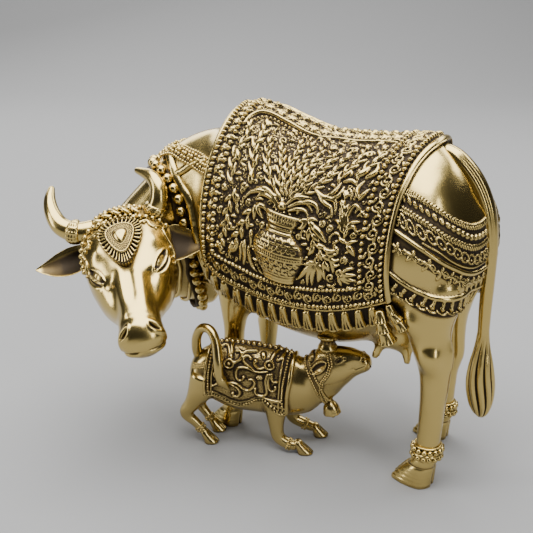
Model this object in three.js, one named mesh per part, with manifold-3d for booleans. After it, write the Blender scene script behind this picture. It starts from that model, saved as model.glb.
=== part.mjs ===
// A cast brass cow with her calf, in millimetres, +Z up. The cow faces -X with her head turned back over
// her left side (-Y), and the calf stands under her belly facing +X. Each animal is one solid.
import * as THREE from "three";
import { mergeVertices } from "three/addons/utils/BufferGeometryUtils.js";
import Module from "manifold-3d";

const wasm = await Module();
wasm.setup();

// Driving sizes
const CENTRE_X = 3.6; // the middle of both animals along X, which the finished group is shifted by
const CENTRE_Y = -30.8;
const CLOTH_LIFT = 1.8; // the saddle cloth stands this far off the cow's hide
const CLOTH_EDGE = THREE.MathUtils.degToRad(112); // the cloth ends this far round from the spine
const CLOTH_LENGTH = 126; // its mean length from front edge to rear edge
const CLOTH_DROP = 122; // its mean drop from the spine to a hem
const BORDER_U = 0.1; // the cloth border's width as a share of the cloth's length
const BORDER_V = 0.062; // the same as a share of the way round from hem to hem
const WELT = 1.7; // the border's raised lines stand this high
const TASSELS = 15;
const NECKLACE_BEADS = 17;
const CROWN_BEADS = 9;
const SOLE = 0; // every hoof stands on this height

// Basic solids

function solid(points, triangles) {
  let volume = 0;
  for (const [a, b, c] of triangles) {
    volume += points[a].dot(points[b].clone().cross(points[c]));
  }
  const vertProperties = new Float32Array(points.flatMap((p) => [p.x, p.y, p.z]));
  const triVerts = new Uint32Array(triangles.flatMap(([a, b, c]) => (volume < 0 ? [a, c, b] : [a, b, c])));
  return new wasm.Manifold(new wasm.Mesh({ numProp: 3, vertProperties, triVerts }));
}

// Joins rings of equally many points into one closed skin, with a flat or pointed cap on each end.
function skin(rings, startCap, endCap) {
  const sides = rings[0].length;
  const points = rings.flat();
  const triangles = [];
  for (let i = 0; i + 1 < rings.length; i++) {
    for (let j = 0; j < sides; j++) {
      const a = i * sides + j;
      const b = i * sides + ((j + 1) % sides);
      triangles.push([a, b, a + sides], [b, b + sides, a + sides]);
    }
  }
  const first = points.push(startCap) - 1;
  const last = points.push(endCap) - 1;
  const tail = (rings.length - 1) * sides;
  for (let j = 0; j < sides; j++) {
    const k = (j + 1) % sides;
    triangles.push([first, k, j], [last, tail + j, tail + k]);
  }
  return solid(points, triangles);
}

function fuse(parts) {
  return parts.reduce((whole, part) => whole.add(part));
}

function fromGeometry(geometry, matrix) {
  const bare = new THREE.BufferGeometry();
  bare.setAttribute("position", geometry.getAttribute("position"));
  bare.setIndex(geometry.getIndex());
  bare.applyMatrix4(matrix);
  const merged = mergeVertices(bare, 1e-4);
  const at = merged.getAttribute("position");
  const points = Array.from({ length: at.count }, (_, i) => new THREE.Vector3().fromBufferAttribute(at, i));
  const index = merged.getIndex().array;
  const triangles = [];
  for (let i = 0; i < index.length; i += 3) {
    const [a, b, c] = index.slice(i, i + 3);
    if (a !== b && b !== c && c !== a) triangles.push([a, b, c]);
  }
  return solid(points, triangles);
}

function vec(x, y, z) {
  return new THREE.Vector3(x, y, z);
}

function bead(centre, radius) {
  const matrix = new THREE.Matrix4().makeTranslation(centre.x, centre.y, centre.z);
  return fromGeometry(new THREE.IcosahedronGeometry(radius, 0), matrix);
}

function stud(centre, radius) {
  const matrix = new THREE.Matrix4().makeTranslation(centre.x, centre.y, centre.z);
  return fromGeometry(new THREE.OctahedronGeometry(radius, 0), matrix);
}

// Evenly spaced values from one to another.
function lines(from, to, count) {
  return Array.from({ length: count }, (_, i) => from + ((to - from) * i) / (count - 1));
}

// Smooth values through evenly spaced rows of numbers, by Catmull-Rom.
function along(rows, t) {
  const last = rows.length - 1;
  const f = Math.min(Math.max(t, 0), 1) * last;
  const i = Math.min(Math.floor(f), last - 1);
  const k = f - i;
  const row = (n) => rows[Math.min(Math.max(n, 0), last)];
  return row(i).map((b, c) => {
    const a = row(i - 1)[c];
    const d = row(i + 1)[c];
    const e = row(i + 2)[c];
    return b + 0.5 * k * (d - a + k * (2 * a - 5 * b + 4 * d - e + k * (3 * (b - d) + e - a)));
  });
}

// The skin of a limb through rows of [x, y, z, sideways, upper, lower] radii, square to its own line. turn
// runs round it from its upper side, and height is measured off the skin.
function limbSkin(rows, up) {
  return (t, turn, height = 0) => {
    const [x, y, z, across, upper, lower] = along(rows, t);
    const ahead = vec(...along(rows, t + 0.01)).sub(vec(...along(rows, t - 0.01))).normalize();
    const side = ahead.clone().cross(up).normalize();
    const rise = side.clone().cross(ahead);
    const lift = Math.cos(turn);
    return vec(x, y, z)
      .addScaledVector(side, -(across + height) * Math.sin(turn))
      .addScaledVector(rise, ((lift > 0 ? upper : lower) + height) * lift);
  };
}

// A closed limb: rings of its skin, and a blunt point past each end that stands out by tip times its radius.
function limb(rows, { steps, sides, up, tip = 0.35 }) {
  const surface = limbSkin(rows, up);
  const turns = lines(0, 2 * Math.PI, sides + 1).slice(1);
  const rings = lines(0, 1, steps + 1).map((t) => turns.map((turn) => surface(t, turn)));
  const end = (row, next) => {
    const outward = vec(...row).sub(vec(...next)).normalize();
    return vec(...row).addScaledVector(outward, tip * row[3]);
  };
  return skin(rings, end(rows[0], rows[1]), end(rows[rows.length - 1], rows[rows.length - 2]));
}

// A leg through level rings of [x, y, z, sideways, front, back, cleft], flat at both ends. The cleft is how
// far the front of the ring is drawn in between the two toes.
function leg(rings, sides) {
  const skinRings = rings.map(([x, y, z, across, front, back, cleft = 0]) =>
    Array.from({ length: sides }, (_, j) => {
      const turn = (2 * Math.PI * j) / sides;
      const fore = Math.cos(turn);
      const reach = j ? 1 : 1 - cleft;
      return vec(x - (fore > 0 ? front * reach : back) * fore, y + across * Math.sin(turn), z);
    }),
  );
  return skin(skinRings, vec(...rings[0]), vec(...rings[rings.length - 1]));
}

// A slab lying on a surface between lines of u and lines of v. rise(i, j) is its height where two lines meet.
function slab(surface, linesU, linesV, rise, depth) {
  const points = [];
  const triangles = [];
  const [countU, countV] = [linesU.length, linesV.length];
  const index = (layer, i, j) => (layer * countU + i) * countV + j;
  for (const layer of [0, 1]) {
    for (let i = 0; i < countU; i++) {
      for (let j = 0; j < countV; j++) {
        points.push(surface(linesU[i], linesV[j], layer ? -depth : rise(i, j)));
      }
    }
  }
  const quad = (a, b, c, d) => triangles.push([a, b, c], [a, c, d]);
  for (let i = 0; i + 1 < countU; i++) {
    for (let j = 0; j + 1 < countV; j++) {
      quad(index(0, i, j), index(0, i + 1, j), index(0, i + 1, j + 1), index(0, i, j + 1));
      quad(index(1, i, j), index(1, i, j + 1), index(1, i + 1, j + 1), index(1, i + 1, j));
    }
    const end = countV - 1;
    quad(index(0, i, 0), index(1, i, 0), index(1, i + 1, 0), index(0, i + 1, 0));
    quad(index(0, i, end), index(0, i + 1, end), index(1, i + 1, end), index(1, i, end));
  }
  for (let j = 0; j + 1 < countV; j++) {
    const end = countU - 1;
    quad(index(0, 0, j), index(0, 0, j + 1), index(1, 0, j + 1), index(1, 0, j));
    quad(index(0, end, j), index(1, end, j), index(1, end, j + 1), index(0, end, j + 1));
  }
  return solid(points, triangles);
}

// A raised stroke along a path on a surface, four-sided, whose half width and height change along it.
function stroke(surface, path, { steps, width, height, depth = 1.2 }) {
  const rings = [];
  const at = (t, h) => surface(...path(t), h);
  for (let i = 0; i <= steps; i++) {
    const t = i / steps;
    const foot = at(t, 0);
    const rise = at(t, 1).sub(foot).normalize();
    const ahead = at(Math.min(t + 0.02, 1), 0).sub(at(Math.max(t - 0.02, 0), 0)).normalize();
    const side = ahead.cross(rise).normalize();
    const w = typeof width === "function" ? width(t) : width;
    const h = typeof height === "function" ? height(t) : height;
    rings.push([
      foot.clone().addScaledVector(side, w),
      foot.clone().addScaledVector(rise, h),
      foot.clone().addScaledVector(side, -w),
      foot.clone().addScaledVector(rise, -depth),
    ]);
  }
  return skin(rings, at(0, -0.3 * depth), at(1, -0.3 * depth));
}

// A leaf, bell or tassel lying along a path on a surface: pointed at both ends and widest at one place.
function blade(surface, path, half, height, widest = 0.5) {
  const at = (t, h) => surface(...path(t), h);
  const foot = at(widest, 0);
  const rise = at(widest, 1).sub(foot).normalize();
  const side = at(1, 0).sub(at(0, 0)).cross(rise).normalize();
  const ring = [
    foot.clone().addScaledVector(side, half),
    foot.clone().addScaledVector(rise, height),
    foot.clone().addScaledVector(side, -half),
    foot.clone().addScaledVector(rise, -1),
  ];
  return skin([ring], at(0, 0), at(1, 0));
}

// The cow's barrel. Rows of x, spine height, widest height, belly height, half width and ridge sharpness.
const BARREL = [
  [-51, 146, 135, 122, 9, 1],
  [-49, 160, 136, 110, 19, 1],
  [-44, 176, 137, 98, 28, 1],
  [-36, 192, 138, 89, 34.5, 1.1],
  [-28, 202.5, 138, 84, 39, 1.2],
  [-17, 207.5, 137.5, 78, 43, 1.25],
  [-4, 207.5, 136, 73, 45, 1.25],
  [12, 202, 133, 69, 46.5, 1.18],
  [32, 196.5, 130, 66.5, 47.5, 1.1],
  [52, 196, 129, 67.5, 48, 1.08],
  [70, 196.8, 131, 73, 47.5, 1.08],
  [86, 198.5, 135, 81, 46.5, 1.08],
  [100, 199.5, 140, 90, 45, 1.08],
  [113, 192, 143, 99, 42.5, 1.05],
  [123, 181, 144, 106, 37, 1],
  [130, 169, 143, 112, 29, 1],
  [134.5, 161, 141, 120, 19, 1],
  [136.5, 150, 139, 129, 9, 1],
];

function barrelRow(x) {
  const last = BARREL.length - 2;
  let i = 0;
  while (i < last && x > BARREL[i + 1][0]) i++;
  const row = (n) => BARREL[Math.min(Math.max(n, 0), last + 1)];
  const [p, a, b, q] = [row(i - 1), row(i), row(i + 1), row(i + 2)];
  const span = b[0] - a[0];
  const k = Math.min(Math.max((x - a[0]) / span, 0), 1);
  const slopeA = i ? span / (b[0] - p[0]) : 0.5;
  const slopeB = i < last ? span / (q[0] - a[0]) : 0.5;
  return a.map((value, c) => {
    const da = (b[c] - (i ? p[c] : a[c])) * slopeA;
    const db = ((i < last ? q[c] : b[c]) - a[c]) * slopeB;
    const rest = b[c] - value;
    return value + k * (da + k * (3 * rest - 2 * da - db + k * (da + db - 2 * rest)));
  });
}

// Thigh and shoulder swell out of the barrel's side.
const SWELLS = [
  { x: 113, phi: 1.75, reachX: 16, reachPhi: 0.55, height: 4.5 },
  { x: -12, phi: 1.95, reachX: 15, reachPhi: 0.5, height: 3 },
];

function barrelSkin(x, phi) {
  const [, top, middle, bottom, half, ridge] = barrelRow(x);
  const sine = Math.sin(phi);
  const cosine = Math.cos(phi);
  let width = half;
  for (const s of SWELLS) {
    const away = ((x - s.x) / s.reachX) ** 2 + ((Math.abs(phi) - s.phi) / s.reachPhi) ** 2;
    width += s.height * Math.exp(-away);
  }
  const sharp = cosine > 0 ? ridge : 1;
  const y = -width * Math.sign(sine) * Math.abs(sine) ** sharp;
  return vec(x, y, middle + (cosine > 0 ? top - middle : middle - bottom) * cosine);
}

// phi runs round the barrel from the spine, positive down the near side.
function barrel(x, phi, height) {
  const e = 0.01;
  const alongX = barrelSkin(x + e, phi).sub(barrelSkin(x - e, phi));
  const round = barrelSkin(x, phi + e).sub(barrelSkin(x, phi - e));
  const normal = alongX.cross(round).normalize();
  if (normal.dot(vec(0, -Math.sin(phi), Math.cos(phi))) < 0) normal.negate();
  return barrelSkin(x, phi).addScaledVector(normal, height);
}

function barrelSide(x, z, side, height) {
  const [, top, middle, bottom] = barrelRow(x);
  const share = (z - middle) / (z > middle ? top - middle : middle - bottom);
  return barrel(x, side * Math.acos(Math.min(Math.max(share, -1), 1)), height);
}

function makeBarrel() {
  const [steps, sides] = [18, 20];
  const [from, to] = [BARREL[0][0], BARREL[BARREL.length - 1][0]];
  const rings = [];
  for (let i = 0; i <= steps; i++) {
    const share = 0.5 - 0.5 * Math.cos((Math.PI * i) / steps);
    const x = from + (to - from) * (0.35 * share + (0.65 * i) / steps);
    rings.push(Array.from({ length: sides }, (_, j) => barrel(x, (2 * Math.PI * j) / sides - Math.PI, 0)));
  }
  return skin(rings, vec(from - 1, 0, 135), vec(to + 0.7, 0, 139));
}

// The saddle cloth lies over the barrel: u from its front to its rear edge, v from -1 on the far hem to 1 on
// the near hem, through 0 on the spine.
function cloth(u, v, height) {
  const phi = v * CLOTH_EDGE;
  const front = -33 + 5 * Math.exp(-((phi / 0.87) ** 2));
  const rear = 93 + 9 * Math.exp(-((phi / 0.73) ** 2));
  return barrel(front + (rear - front) * u, phi, CLOTH_LIFT + height);
}

// The cloth's borders are welts: each is one raised line between two lower ones.
function borderLines(width, inner) {
  const edge = [0, 0.018, 0.036, width - 0.02, width, width + 0.02];
  const middle = lines(width + 0.02, 1 - width - 0.02, inner).slice(1, -1);
  return [...edge, ...middle, ...edge.map((v) => 1 - v).reverse()];
}

function makeCloth() {
  const linesU = borderLines(BORDER_U, 7);
  const linesV = borderLines(BORDER_V, 9).map((v) => 2 * v - 1);
  const [lastU, lastV] = [linesU.length - 1, linesV.length - 1];
  const isWelt = (k, last) => [1, 4].includes(Math.min(k, last - k));
  const rise = (i, j) => {
    const outside = [Math.min(i, lastU - i), Math.min(j, lastV - j)];
    const onWelt = (isWelt(i, lastU) && outside[1] >= Math.min(outside[0], 4)) ||
      (isWelt(j, lastV) && outside[0] >= Math.min(outside[1], 4));
    const onSpine = 2 * j === lastV && outside[0] > 5 && i % 2 === 1;
    return onWelt ? WELT : onSpine ? 2.6 : 0;
  };
  return [slab(cloth, linesU, linesV, rise, 4.2)];
}

// A water pot in half relief on each side of the cloth: rows of height above its foot and half width.
const POT = [
  [0, 10],
  [4, 10.5],
  [10, 14.5],
  [17, 16.8],
  [23, 15.6],
  [27, 9.5],
  [30, 8],
  [35, 10.8],
  [36.5, 9.8],
];
const POT_FOOT = { u: 0.488, v: 0.89 };
const POT_MOUTH = 38;

function potPoint(side, across, rise, height) {
  return cloth(POT_FOOT.u + across / CLOTH_LENGTH, side * (POT_FOOT.v - rise / CLOTH_DROP), height);
}

function makePot(side) {
  const facets = 6;
  const rings = POT.map(([rise, half]) =>
    Array.from({ length: facets + 2 }, (_, j) => {
      if (j > facets) return potPoint(side, 0, rise, -1.5);
      const turn = Math.PI * (j / facets);
      return potPoint(side, -half * Math.cos(turn), rise, 0.36 * half * Math.sin(turn) - 0.3);
    }),
  );
  const [foot, mouth] = [POT[0][0] - 0.2, POT[POT.length - 1][0] + 0.2];
  return skin(rings, potPoint(side, 0, foot, 1), potPoint(side, 0, mouth, 1));
}

// Fronds spread from the pot's mouth: the direction each starts in, its length and how far it bends. The far
// side of the cloth is plainer and has the first two alone.
const FRONDS = [
  { angle: 64, length: 54, bend: -34 },
  { angle: 150, length: 50, bend: 70 },
  { angle: 10, length: 54, bend: -70 },
  { angle: 106, length: 52, bend: 24 },
];
const LEAF_PAIRS = 3;

function makeFronds(side) {
  const surface = (u, v, h) => cloth(u, side * v, h);
  const fronds = side > 0 ? FRONDS : FRONDS.slice(0, 2);
  return fronds.map(({ angle, length, bend }) => {
    const path = (t) => {
      const turn = THREE.MathUtils.degToRad(angle + 0.5 * bend * t);
      const reach = 3 + length * t;
      const rise = POT_MOUTH + reach * Math.sin(turn);
      return [POT_FOOT.u + (reach * Math.cos(turn)) / CLOTH_LENGTH, POT_FOOT.v - rise / CLOTH_DROP];
    };
    const open = (t) => (Math.round(2 * LEAF_PAIRS * t) % 2 ? 5.5 - 1.5 * t : 0.9);
    return stroke(surface, path, { steps: 2 * LEAF_PAIRS, width: open, height: 1.8, depth: 0.8 });
  });
}

// Tassels hang in a row from the cloth's hem: the fringe is pleated, with one ridge to each tassel.
function makeTassels(side) {
  const linesU = lines(-31, 90, 2 * TASSELS + 1);
  const linesV = [0, 0.32];
  const fringe = (x, v, h) => barrel(x, side * (CLOTH_EDGE - 0.02 + v), h);
  const rise = (i, j) => (i % 2 ? [1.6, 4][j] : [1.4, 0.4][j]);
  return slab(fringe, linesU, linesV, rise, 1.5);
}

// Strings of three stacked bells hang at each rear corner of the cloth: two on the near side, one on the far.
const BELL_PITCH = 6.4;
const CORNER_BELLS = [
  { x: 91.7, z: 113.3, lean: -0.5 },
  { x: 97, z: 117, lean: 4.5 },
];

function makeCornerBells(side) {
  const surface = (x, z, h) => barrelSide(x, z, side, h);
  const strings = side > 0 ? CORNER_BELLS : CORNER_BELLS.slice(1);
  return strings.flatMap(({ x, z, lean }) =>
    [0, 1, 2].map((n) => {
      const path = (t) => [x + lean * (n + t), z - BELL_PITCH * (n + 1.2 * t)];
      return blade(surface, path, 4.2, 4.2, 0.78);
    }),
  );
}

// Harness bands cross each thigh behind the cloth. They run level with a line that falls towards the tail.
const BAND_LINE = [
  [92, 0],
  [102, -6.5],
  [112, -13],
  [122, -18.5],
  [131, -20],
];
// Each line across the bands: drop below their level line, then height under a bell and between two bells.
const BAND_HEIGHTS = [
  [-4, 0.3, 0.3],
  [-1, 1.8, 1.8],
  [5.5, 1.6, 1.6],
  [8, 0.6, 0.6],
  [11, 2, 2],
  [15.5, 0.6, 0.6],
  [18.5, 2, 2],
  [21, 0.8, 0.8],
  [26, 2, 0.8],
  [31, 0.4, 0.4],
];
const STRAP_HEIGHTS = [
  [41.5, 0.3, 0.3],
  [44, 1.9, 1.9],
  [59, 3, 0.4],
];

function makeThighBands(side) {
  return [BAND_HEIGHTS, STRAP_HEIGHTS].map((heights, row) => {
    const surface = (t, drop, h) => {
      const [x, fall] = along(BAND_LINE, t);
      return barrelSide(x, 181 + fall - drop, side, h);
    };
    const drops = heights.map((row) => row[0]);
    return slab(surface, lines(0, 1, row ? 13 : 7), drops, (i, j) => heights[j][i % 2 ? 1 : 2], 1.5);
  });
}

// Legs: rows of x, y, height, sideways, front and back radius, from inside the body down to the anklet.
const LEGS = {
  near_hind: [
    [112, -26, 128, 16, 20, 21],
    [114, -28, 112, 15, 18, 16],
    [115, -29, 99, 13.5, 15, 12],
    [116.5, -30, 87, 11, 11.5, 10.5],
    [119, -30, 74, 8.8, 9.2, 9.4],
    [119.5, -30, 62, 7.8, 8.2, 8.2],
    [119.5, -30, 49, 7.4, 8, 7],
    [119, -30, 36, 7.2, 7.8, 6.8],
    [118, -30, 19, 7.2, 7.8, 6.6],
  ],
  far_hind: [
    [109, 26, 128, 16, 20, 20],
    [110, 27, 112, 14.5, 17, 15.5],
    [109.5, 27, 97, 12, 13.5, 11.5],
    [109, 27, 84, 9.2, 10.5, 9],
    [109.5, 27, 72, 7.6, 8, 8],
    [110, 27, 60, 7, 7.2, 7.8],
    [108.5, 27, 47, 6.3, 6.5, 6],
    [108, 27, 35, 6, 6.4, 5.8],
    [107, 27, 18, 6.4, 7, 6.2],
  ],
  near_fore: [
    [-15.5, -23, 122, 13, 19, 18],
    [-15.5, -24.5, 102, 11, 14, 13],
    [-16.5, -25, 84, 8.6, 10, 9.6],
    [-17, -25, 68, 6.6, 7.2, 6.8],
    [-17.5, -25, 56, 6.4, 7.2, 6.6],
    [-17, -25, 46, 6, 6.8, 6.2],
    [-16.5, -25, 37, 5.4, 5.8, 5.4],
    [-16.5, -25, 27, 5.4, 5.8, 5.4],
    [-17, -25, 16, 5.6, 6.6, 5.8],
  ],
  far_fore: [
    [-17, 25, 122, 14, 18, 18],
    [-18, 27, 102, 12, 14, 13],
    [-20, 28, 84, 9, 10.5, 9.6],
    [-21.5, 28, 68, 7.4, 7.8, 7.4],
    [-22, 28, 56, 7, 7.4, 7],
    [-22.5, 28, 46, 6.6, 7, 6.6],
    [-22.5, 28, 37, 5.8, 6, 5.6],
    [-22.5, 28, 27, 5.8, 6, 5.6],
    [-23, 28, 16, 6.2, 6.8, 6],
  ],
};

function makeLeg(rows) {
  const shaft = lines(0, 1, 6).map((t) => along(rows, t));
  const [x, y, z, across, front, back] = rows[rows.length - 1];
  const anklet = [
    [x + 0.8, y, z + 8, across, front, back],
    [x + 0.6, y, z + 6.5, across + 3.2, front + 3.2, back + 3.2],
    [x + 0.4, y, z + 3, across + 3.2, front + 3.2, back + 3.2],
    [x, y, z + 1.5, across, front, back],
  ];
  const hoof = [
    [x - 1.2, y, z * 0.74, across * 1.1, front * 1.25, back * 1.02, 0.06],
    [x - 2.6, y, z * 0.3, across * 1.25, front * 1.9, back * 1.1, 0.2],
    [x - 3.2, y, 1.4, across * 1.3, front * 2.25, back * 1.15, 0.28],
    [x - 3.2, y, SOLE, across * 1.22, front * 2.15, back * 1.08, 0.28],
  ];
  return leg([...shaft.slice(0, -1), ...anklet, ...hoof], 8);
}

// The neck reaches forward and bends to the cow's left, with a deep dewlap: x, y, z, sideways, upper and
// lower radius.
const NECK = [
  [-18, 0, 150, 34, 44, 62],
  [-42, -2, 147, 31, 43, 68],
  [-60, -8, 142, 26, 37, 64],
  [-74, -19, 135, 21, 26, 72],
  [-83, -32, 128, 18.5, 19.5, 56],
  [-86, -44, 124, 16, 15, 24],
];

const neckSkin = limbSkin(NECK, vec(0, 0, 1));

// Places along the neck for its rings, with the strap's height over the hide there.
const NECK_RINGS = [
  [0, 0],
  [0.13, 0],
  [0.24, 0],
  [0.3, 0],
  [0.315, 1.8],
  [0.355, 1.8],
  [0.37, 0],
  [0.5, 0],
  [0.64, 0],
  [0.76, 0],
  [0.88, 0],
  [1, 0],
];

function makeNeck() {
  const sides = 16;
  const rings = NECK_RINGS.map(([t, height]) =>
    Array.from({ length: sides }, (_, j) => neckSkin(t, (2 * Math.PI * j) / sides, height)),
  );
  const start = vec(...NECK[0]);
  const end = vec(...NECK[NECK.length - 1]);
  const beads = Array.from({ length: NECKLACE_BEADS }, (_, i) =>
    stud(neckSkin(0.46, (2 * Math.PI * i) / NECKLACE_BEADS, 0.8), 4.4),
  );
  return [skin(rings, start, end), ...beads];
}

// The head's own frame: its poll, the line down the face, her left and the face's normal.
const POLL = vec(-83.5, -52.8, 141.4);
const FACE = vec(0.62, -0.639, -0.456).normalize();
const LEFT = vec(0.764, 0.606, 0.221).normalize();
const BROW = FACE.clone().cross(LEFT).normalize();

function head(across, down, out) {
  return POLL.clone().addScaledVector(LEFT, across).addScaledVector(FACE, down).addScaledVector(BROW, out);
}

// Sections down the face: distance, half width, top, widest and bottom height.
const HEAD = [
  [-9, 9, -4, -12, -20],
  [-6, 18, 1, -12, -30],
  [0, 25, 4.5, -12, -40],
  [10, 28, 6.5, -12, -47],
  [22, 28.5, 6.5, -12, -52],
  [33, 27.5, 5, -13, -53],
  [44, 25.5, 3, -15, -49],
  [55, 21.5, 1.5, -17, -42],
  [66, 17, 0.5, -16, -34],
  [76, 13.5, 0, -13, -28],
  [82, 12.6, 0, -12, -25],
  [88.5, 13.4, 0.5, -11, -25],
  [94, 12.8, -2, -11.5, -24],
  [97.5, 9.8, -5.5, -12, -21],
  [99.5, 5, -9, -12, -17],
];

function headSkin(t, turn, height = 0) {
  const [down, half, top, middle, bottom] = along(HEAD, t);
  const lift = Math.cos(turn);
  return head(
    (half + height) * Math.sin(turn),
    down,
    middle + (lift > 0 ? top - middle + height : middle - bottom + height) * lift,
  );
}

function makeHead() {
  const [steps, sides] = [13, 12];
  const rings = [];
  for (let i = 0; i <= steps; i++) {
    rings.push(Array.from({ length: sides }, (_, j) => headSkin(i / steps, (2 * Math.PI * j) / sides)));
  }
  const parts = [skin(rings, head(0, -10, -12), head(0, 100.3, -12))];
  for (const side of [-1, 1]) {
    parts.push(makeEye(side));
  }
  parts.push(makeHorn(HORN_RIGHT), makeHorn(HORN_LEFT), makeEar(EAR_RIGHT), makeEar(EAR_LEFT));
  parts.push(...makeHeadJewels());
  return parts;
}

function makeEye(side) {
  const rows = [
    head(side * 25, 33, -5),
    head(side * 22.4, 39, -4),
    head(side * 19.2, 45.2, -3.6),
    head(side * 15.4, 51.4, -3.2),
  ].map((p, i) => [p.x, p.y, p.z, [0.8, 3.6, 3.2, 0.8][i], 2, 2]);
  return limb(rows, { steps: 3, sides: 6, up: LEFT.clone().multiplyScalar(side) });
}

// Horns: across, down and out in the head's frame, then radius.
const HORN_RIGHT = [
  [-17.5, 4, -4, 7],
  [-27.5, 3, -3, 6.6],
  [-36.5, -3.5, -1, 6],
  [-40.5, -13.5, 2, 5],
  [-41, -24.5, 4, 3.8],
  [-38.5, -35, 5, 1.8],
];
const HORN_LEFT = [
  [16.5, 2, -8.5, 7],
  [21.5, 5.2, -1, 6.6],
  [26.5, 3, 6.5, 5.9],
  [28, -3.5, 11.5, 5.2],
  [24.9, -12.4, 13.3, 4.2],
  [16.2, -23.6, 11.7, 1.8],
];

function makeHorn(rows) {
  const placed = rows.map(([a, d, o, r]) => [...head(a, d, o).toArray(), r, r, r]);
  const ringAt = placed[1];
  const collar = placed.slice(0, 3).map((p, i) => {
    const base = vec(...p).lerp(vec(...ringAt), 0.55);
    return [base.x, base.y, base.z, [7.6, 8.6, 7.4][i], [7.6, 8.6, 7.4][i], [7.6, 8.6, 7.4][i]];
  });
  return limb(placed, { steps: 6, sides: 7, up: BROW, tip: 1 }).add(
    limb(collar, { steps: 2, sides: 7, up: BROW, tip: 0 }),
  );
}

// Ears: across, down and out along the middle of the ear, half breadth, and depth of the cup.
const EAR_RIGHT = [
  [-25, 9, -16, 4.5],
  [-31, 11, -17, 8],
  [-39, 12, -18, 9],
  [-48, 11.5, -18.5, 7],
  [-58.5, 10, -19, 1.2],
];
const EAR_LEFT = [
  [20, 16, -13, 4.5],
  [27, 20, -14, 8.5],
  [34, 23.5, -15, 10],
  [40, 26.5, -15.5, 7.5],
  [46, 29.5, -16, 1.2],
];

function makeEar(rows) {
  const placed = rows.map(([a, d, o, half]) => [...head(a, d, o).toArray(), half, 1.6, 2.6]);
  return limb(placed, { steps: 4, sides: 6, up: BROW, tip: 0.4 });
}

function makeHeadJewels() {
  const parts = [];
  const drop = (turn) => {
    const pinch = 1 + 0.22 * Math.cos(turn);
    return [12.2 * Math.sin(turn) * (1 - 0.28 * Math.cos(turn)), 26 + 17 * Math.cos(turn) * pinch];
  };
  const faceSkin = (a, d, h) => {
    const t = (d + 9) / 108.5;
    const rows = along(HEAD, t);
    const lift = Math.sqrt(Math.max(1 - (a / rows[1]) ** 2, 0.05));
    return head(a, d, rows[3] + (rows[2] - rows[3]) * lift + h);
  };
  const rim = [0.55, 1].map((share, layer) =>
    Array.from({ length: 12 }, (_, j) => {
      const [a, d] = drop((2 * Math.PI * j) / 12);
      return faceSkin(a * share, 27 + (d - 27) * share, layer ? 1.2 : 3.4);
    }),
  );
  const base = Array.from({ length: 12 }, (_, j) => {
    const [a, d] = drop((2 * Math.PI * j) / 12);
    return faceSkin(a, d, -2.5);
  });
  parts.push(skin([rim[0], rim[1], base], faceSkin(0, 24, 5.2), faceSkin(0, 27, -6)));
  const crown = (t) => [0.13 + 0.12 * Math.abs(2 * t - 1) ** 2, 1.5 * (2 * t - 1)];
  for (const t of lines(0, 1, CROWN_BEADS)) {
    parts.push(stud(headSkin(...crown(t), 0.5), 3.2));
  }
  return parts;
}

// Tail: from the croup down behind the legs, then its brush.
const TAIL = [
  [108, 0, 193.5, 5, 4, 5],
  [119, 0, 184, 5, 4, 5],
  [127.5, 0, 173, 4.8, 4, 5],
  [133.2, 0, 160, 4.6, 4, 4],
  [135.5, 0, 143, 4.4, 3.8, 3.8],
  [136, 0, 122, 4, 3.6, 3.6],
  [136, 0, 102, 3.6, 3.4, 3.4],
  [136.5, 0, 84, 3.4, 3.3, 3.3],
];
const BRUSH = [
  [136.5, 0, 86, 3.2, 3.2, 3.2],
  [136.5, 0, 76, 5.6, 5, 5],
  [137, 0, 64, 7.6, 6.6, 6.6],
  [137.5, 0, 52, 7.4, 6.4, 6.4],
  [138.5, 0, 42, 4.6, 4.2, 4.2],
  [139, 0, 37, 2, 2, 2],
];

const LOCKS = 5;

function makeTail() {
  const sides = 2 * LOCKS;
  const rings = lines(0, 1, 7).map((t) => {
    const [x, y, z, across] = along(BRUSH, t);
    return Array.from({ length: sides }, (_, j) => {
      const turn = (2 * Math.PI * j) / sides;
      const lock = 1 + 0.2 * Math.sin(Math.PI * t) * Math.cos(LOCKS * turn);
      const twist = turn + 0.5 * t;
      return vec(x + across * lock * Math.cos(twist), y + across * lock * Math.sin(twist), z);
    });
  });
  const brush = skin(rings, vec(...BRUSH[0]), vec(...BRUSH[BRUSH.length - 1]));
  return [limb(TAIL, { steps: 9, sides: 6, up: vec(1, 0, 0) }), brush];
}

function makeUdder() {
  const bag = [
    [66, 0, 84, 8, 8, 8],
    [76, 0, 83, 17, 12, 12],
    [88, 0, 83, 19, 14, 14],
    [98, 0, 85, 14, 12, 12],
  ];
  const teat = (x, y, leanX, leanY) =>
    limb(
      [
        [x, y, 80, 4, 4, 4],
        [x + leanX * 0.5, y + leanY * 0.5, 73, 3.2, 3.2, 3.2],
        [x + leanX, y + leanY, 65.5, 2.6, 2.6, 2.6],
      ],
      { steps: 2, sides: 6, up: vec(1, 0, 0), tip: 0.8 },
    );
  return [
    limb(bag, { steps: 4, sides: 10, up: vec(0, 0, 1) }),
    teat(80, -9, -5, -4),
    teat(80, 9, -5, 4),
    teat(93, -8, 2, -3),
    teat(93, 8, 2, 3),
  ];
}

function makeCow() {
  const parts = [makeBarrel(), ...makeNeck(), ...makeHead(), ...makeTail(), ...makeUdder()];
  for (const rows of Object.values(LEGS)) {
    parts.push(makeLeg(rows));
  }
  parts.push(...makeCloth());
  for (const side of [-1, 1]) {
    parts.push(makePot(side), ...makeFronds(side), makeTassels(side));
    parts.push(...makeCornerBells(side), ...makeThighBands(side));
  }
  return fuse(parts);
}

// The calf is modelled in its own frame: u forward, v to its left, z up, its hind feet near the origin.
const CALF_TURN = THREE.MathUtils.degToRad(18);
const CALF_AT = vec(-21, -45.5, 0);

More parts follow.
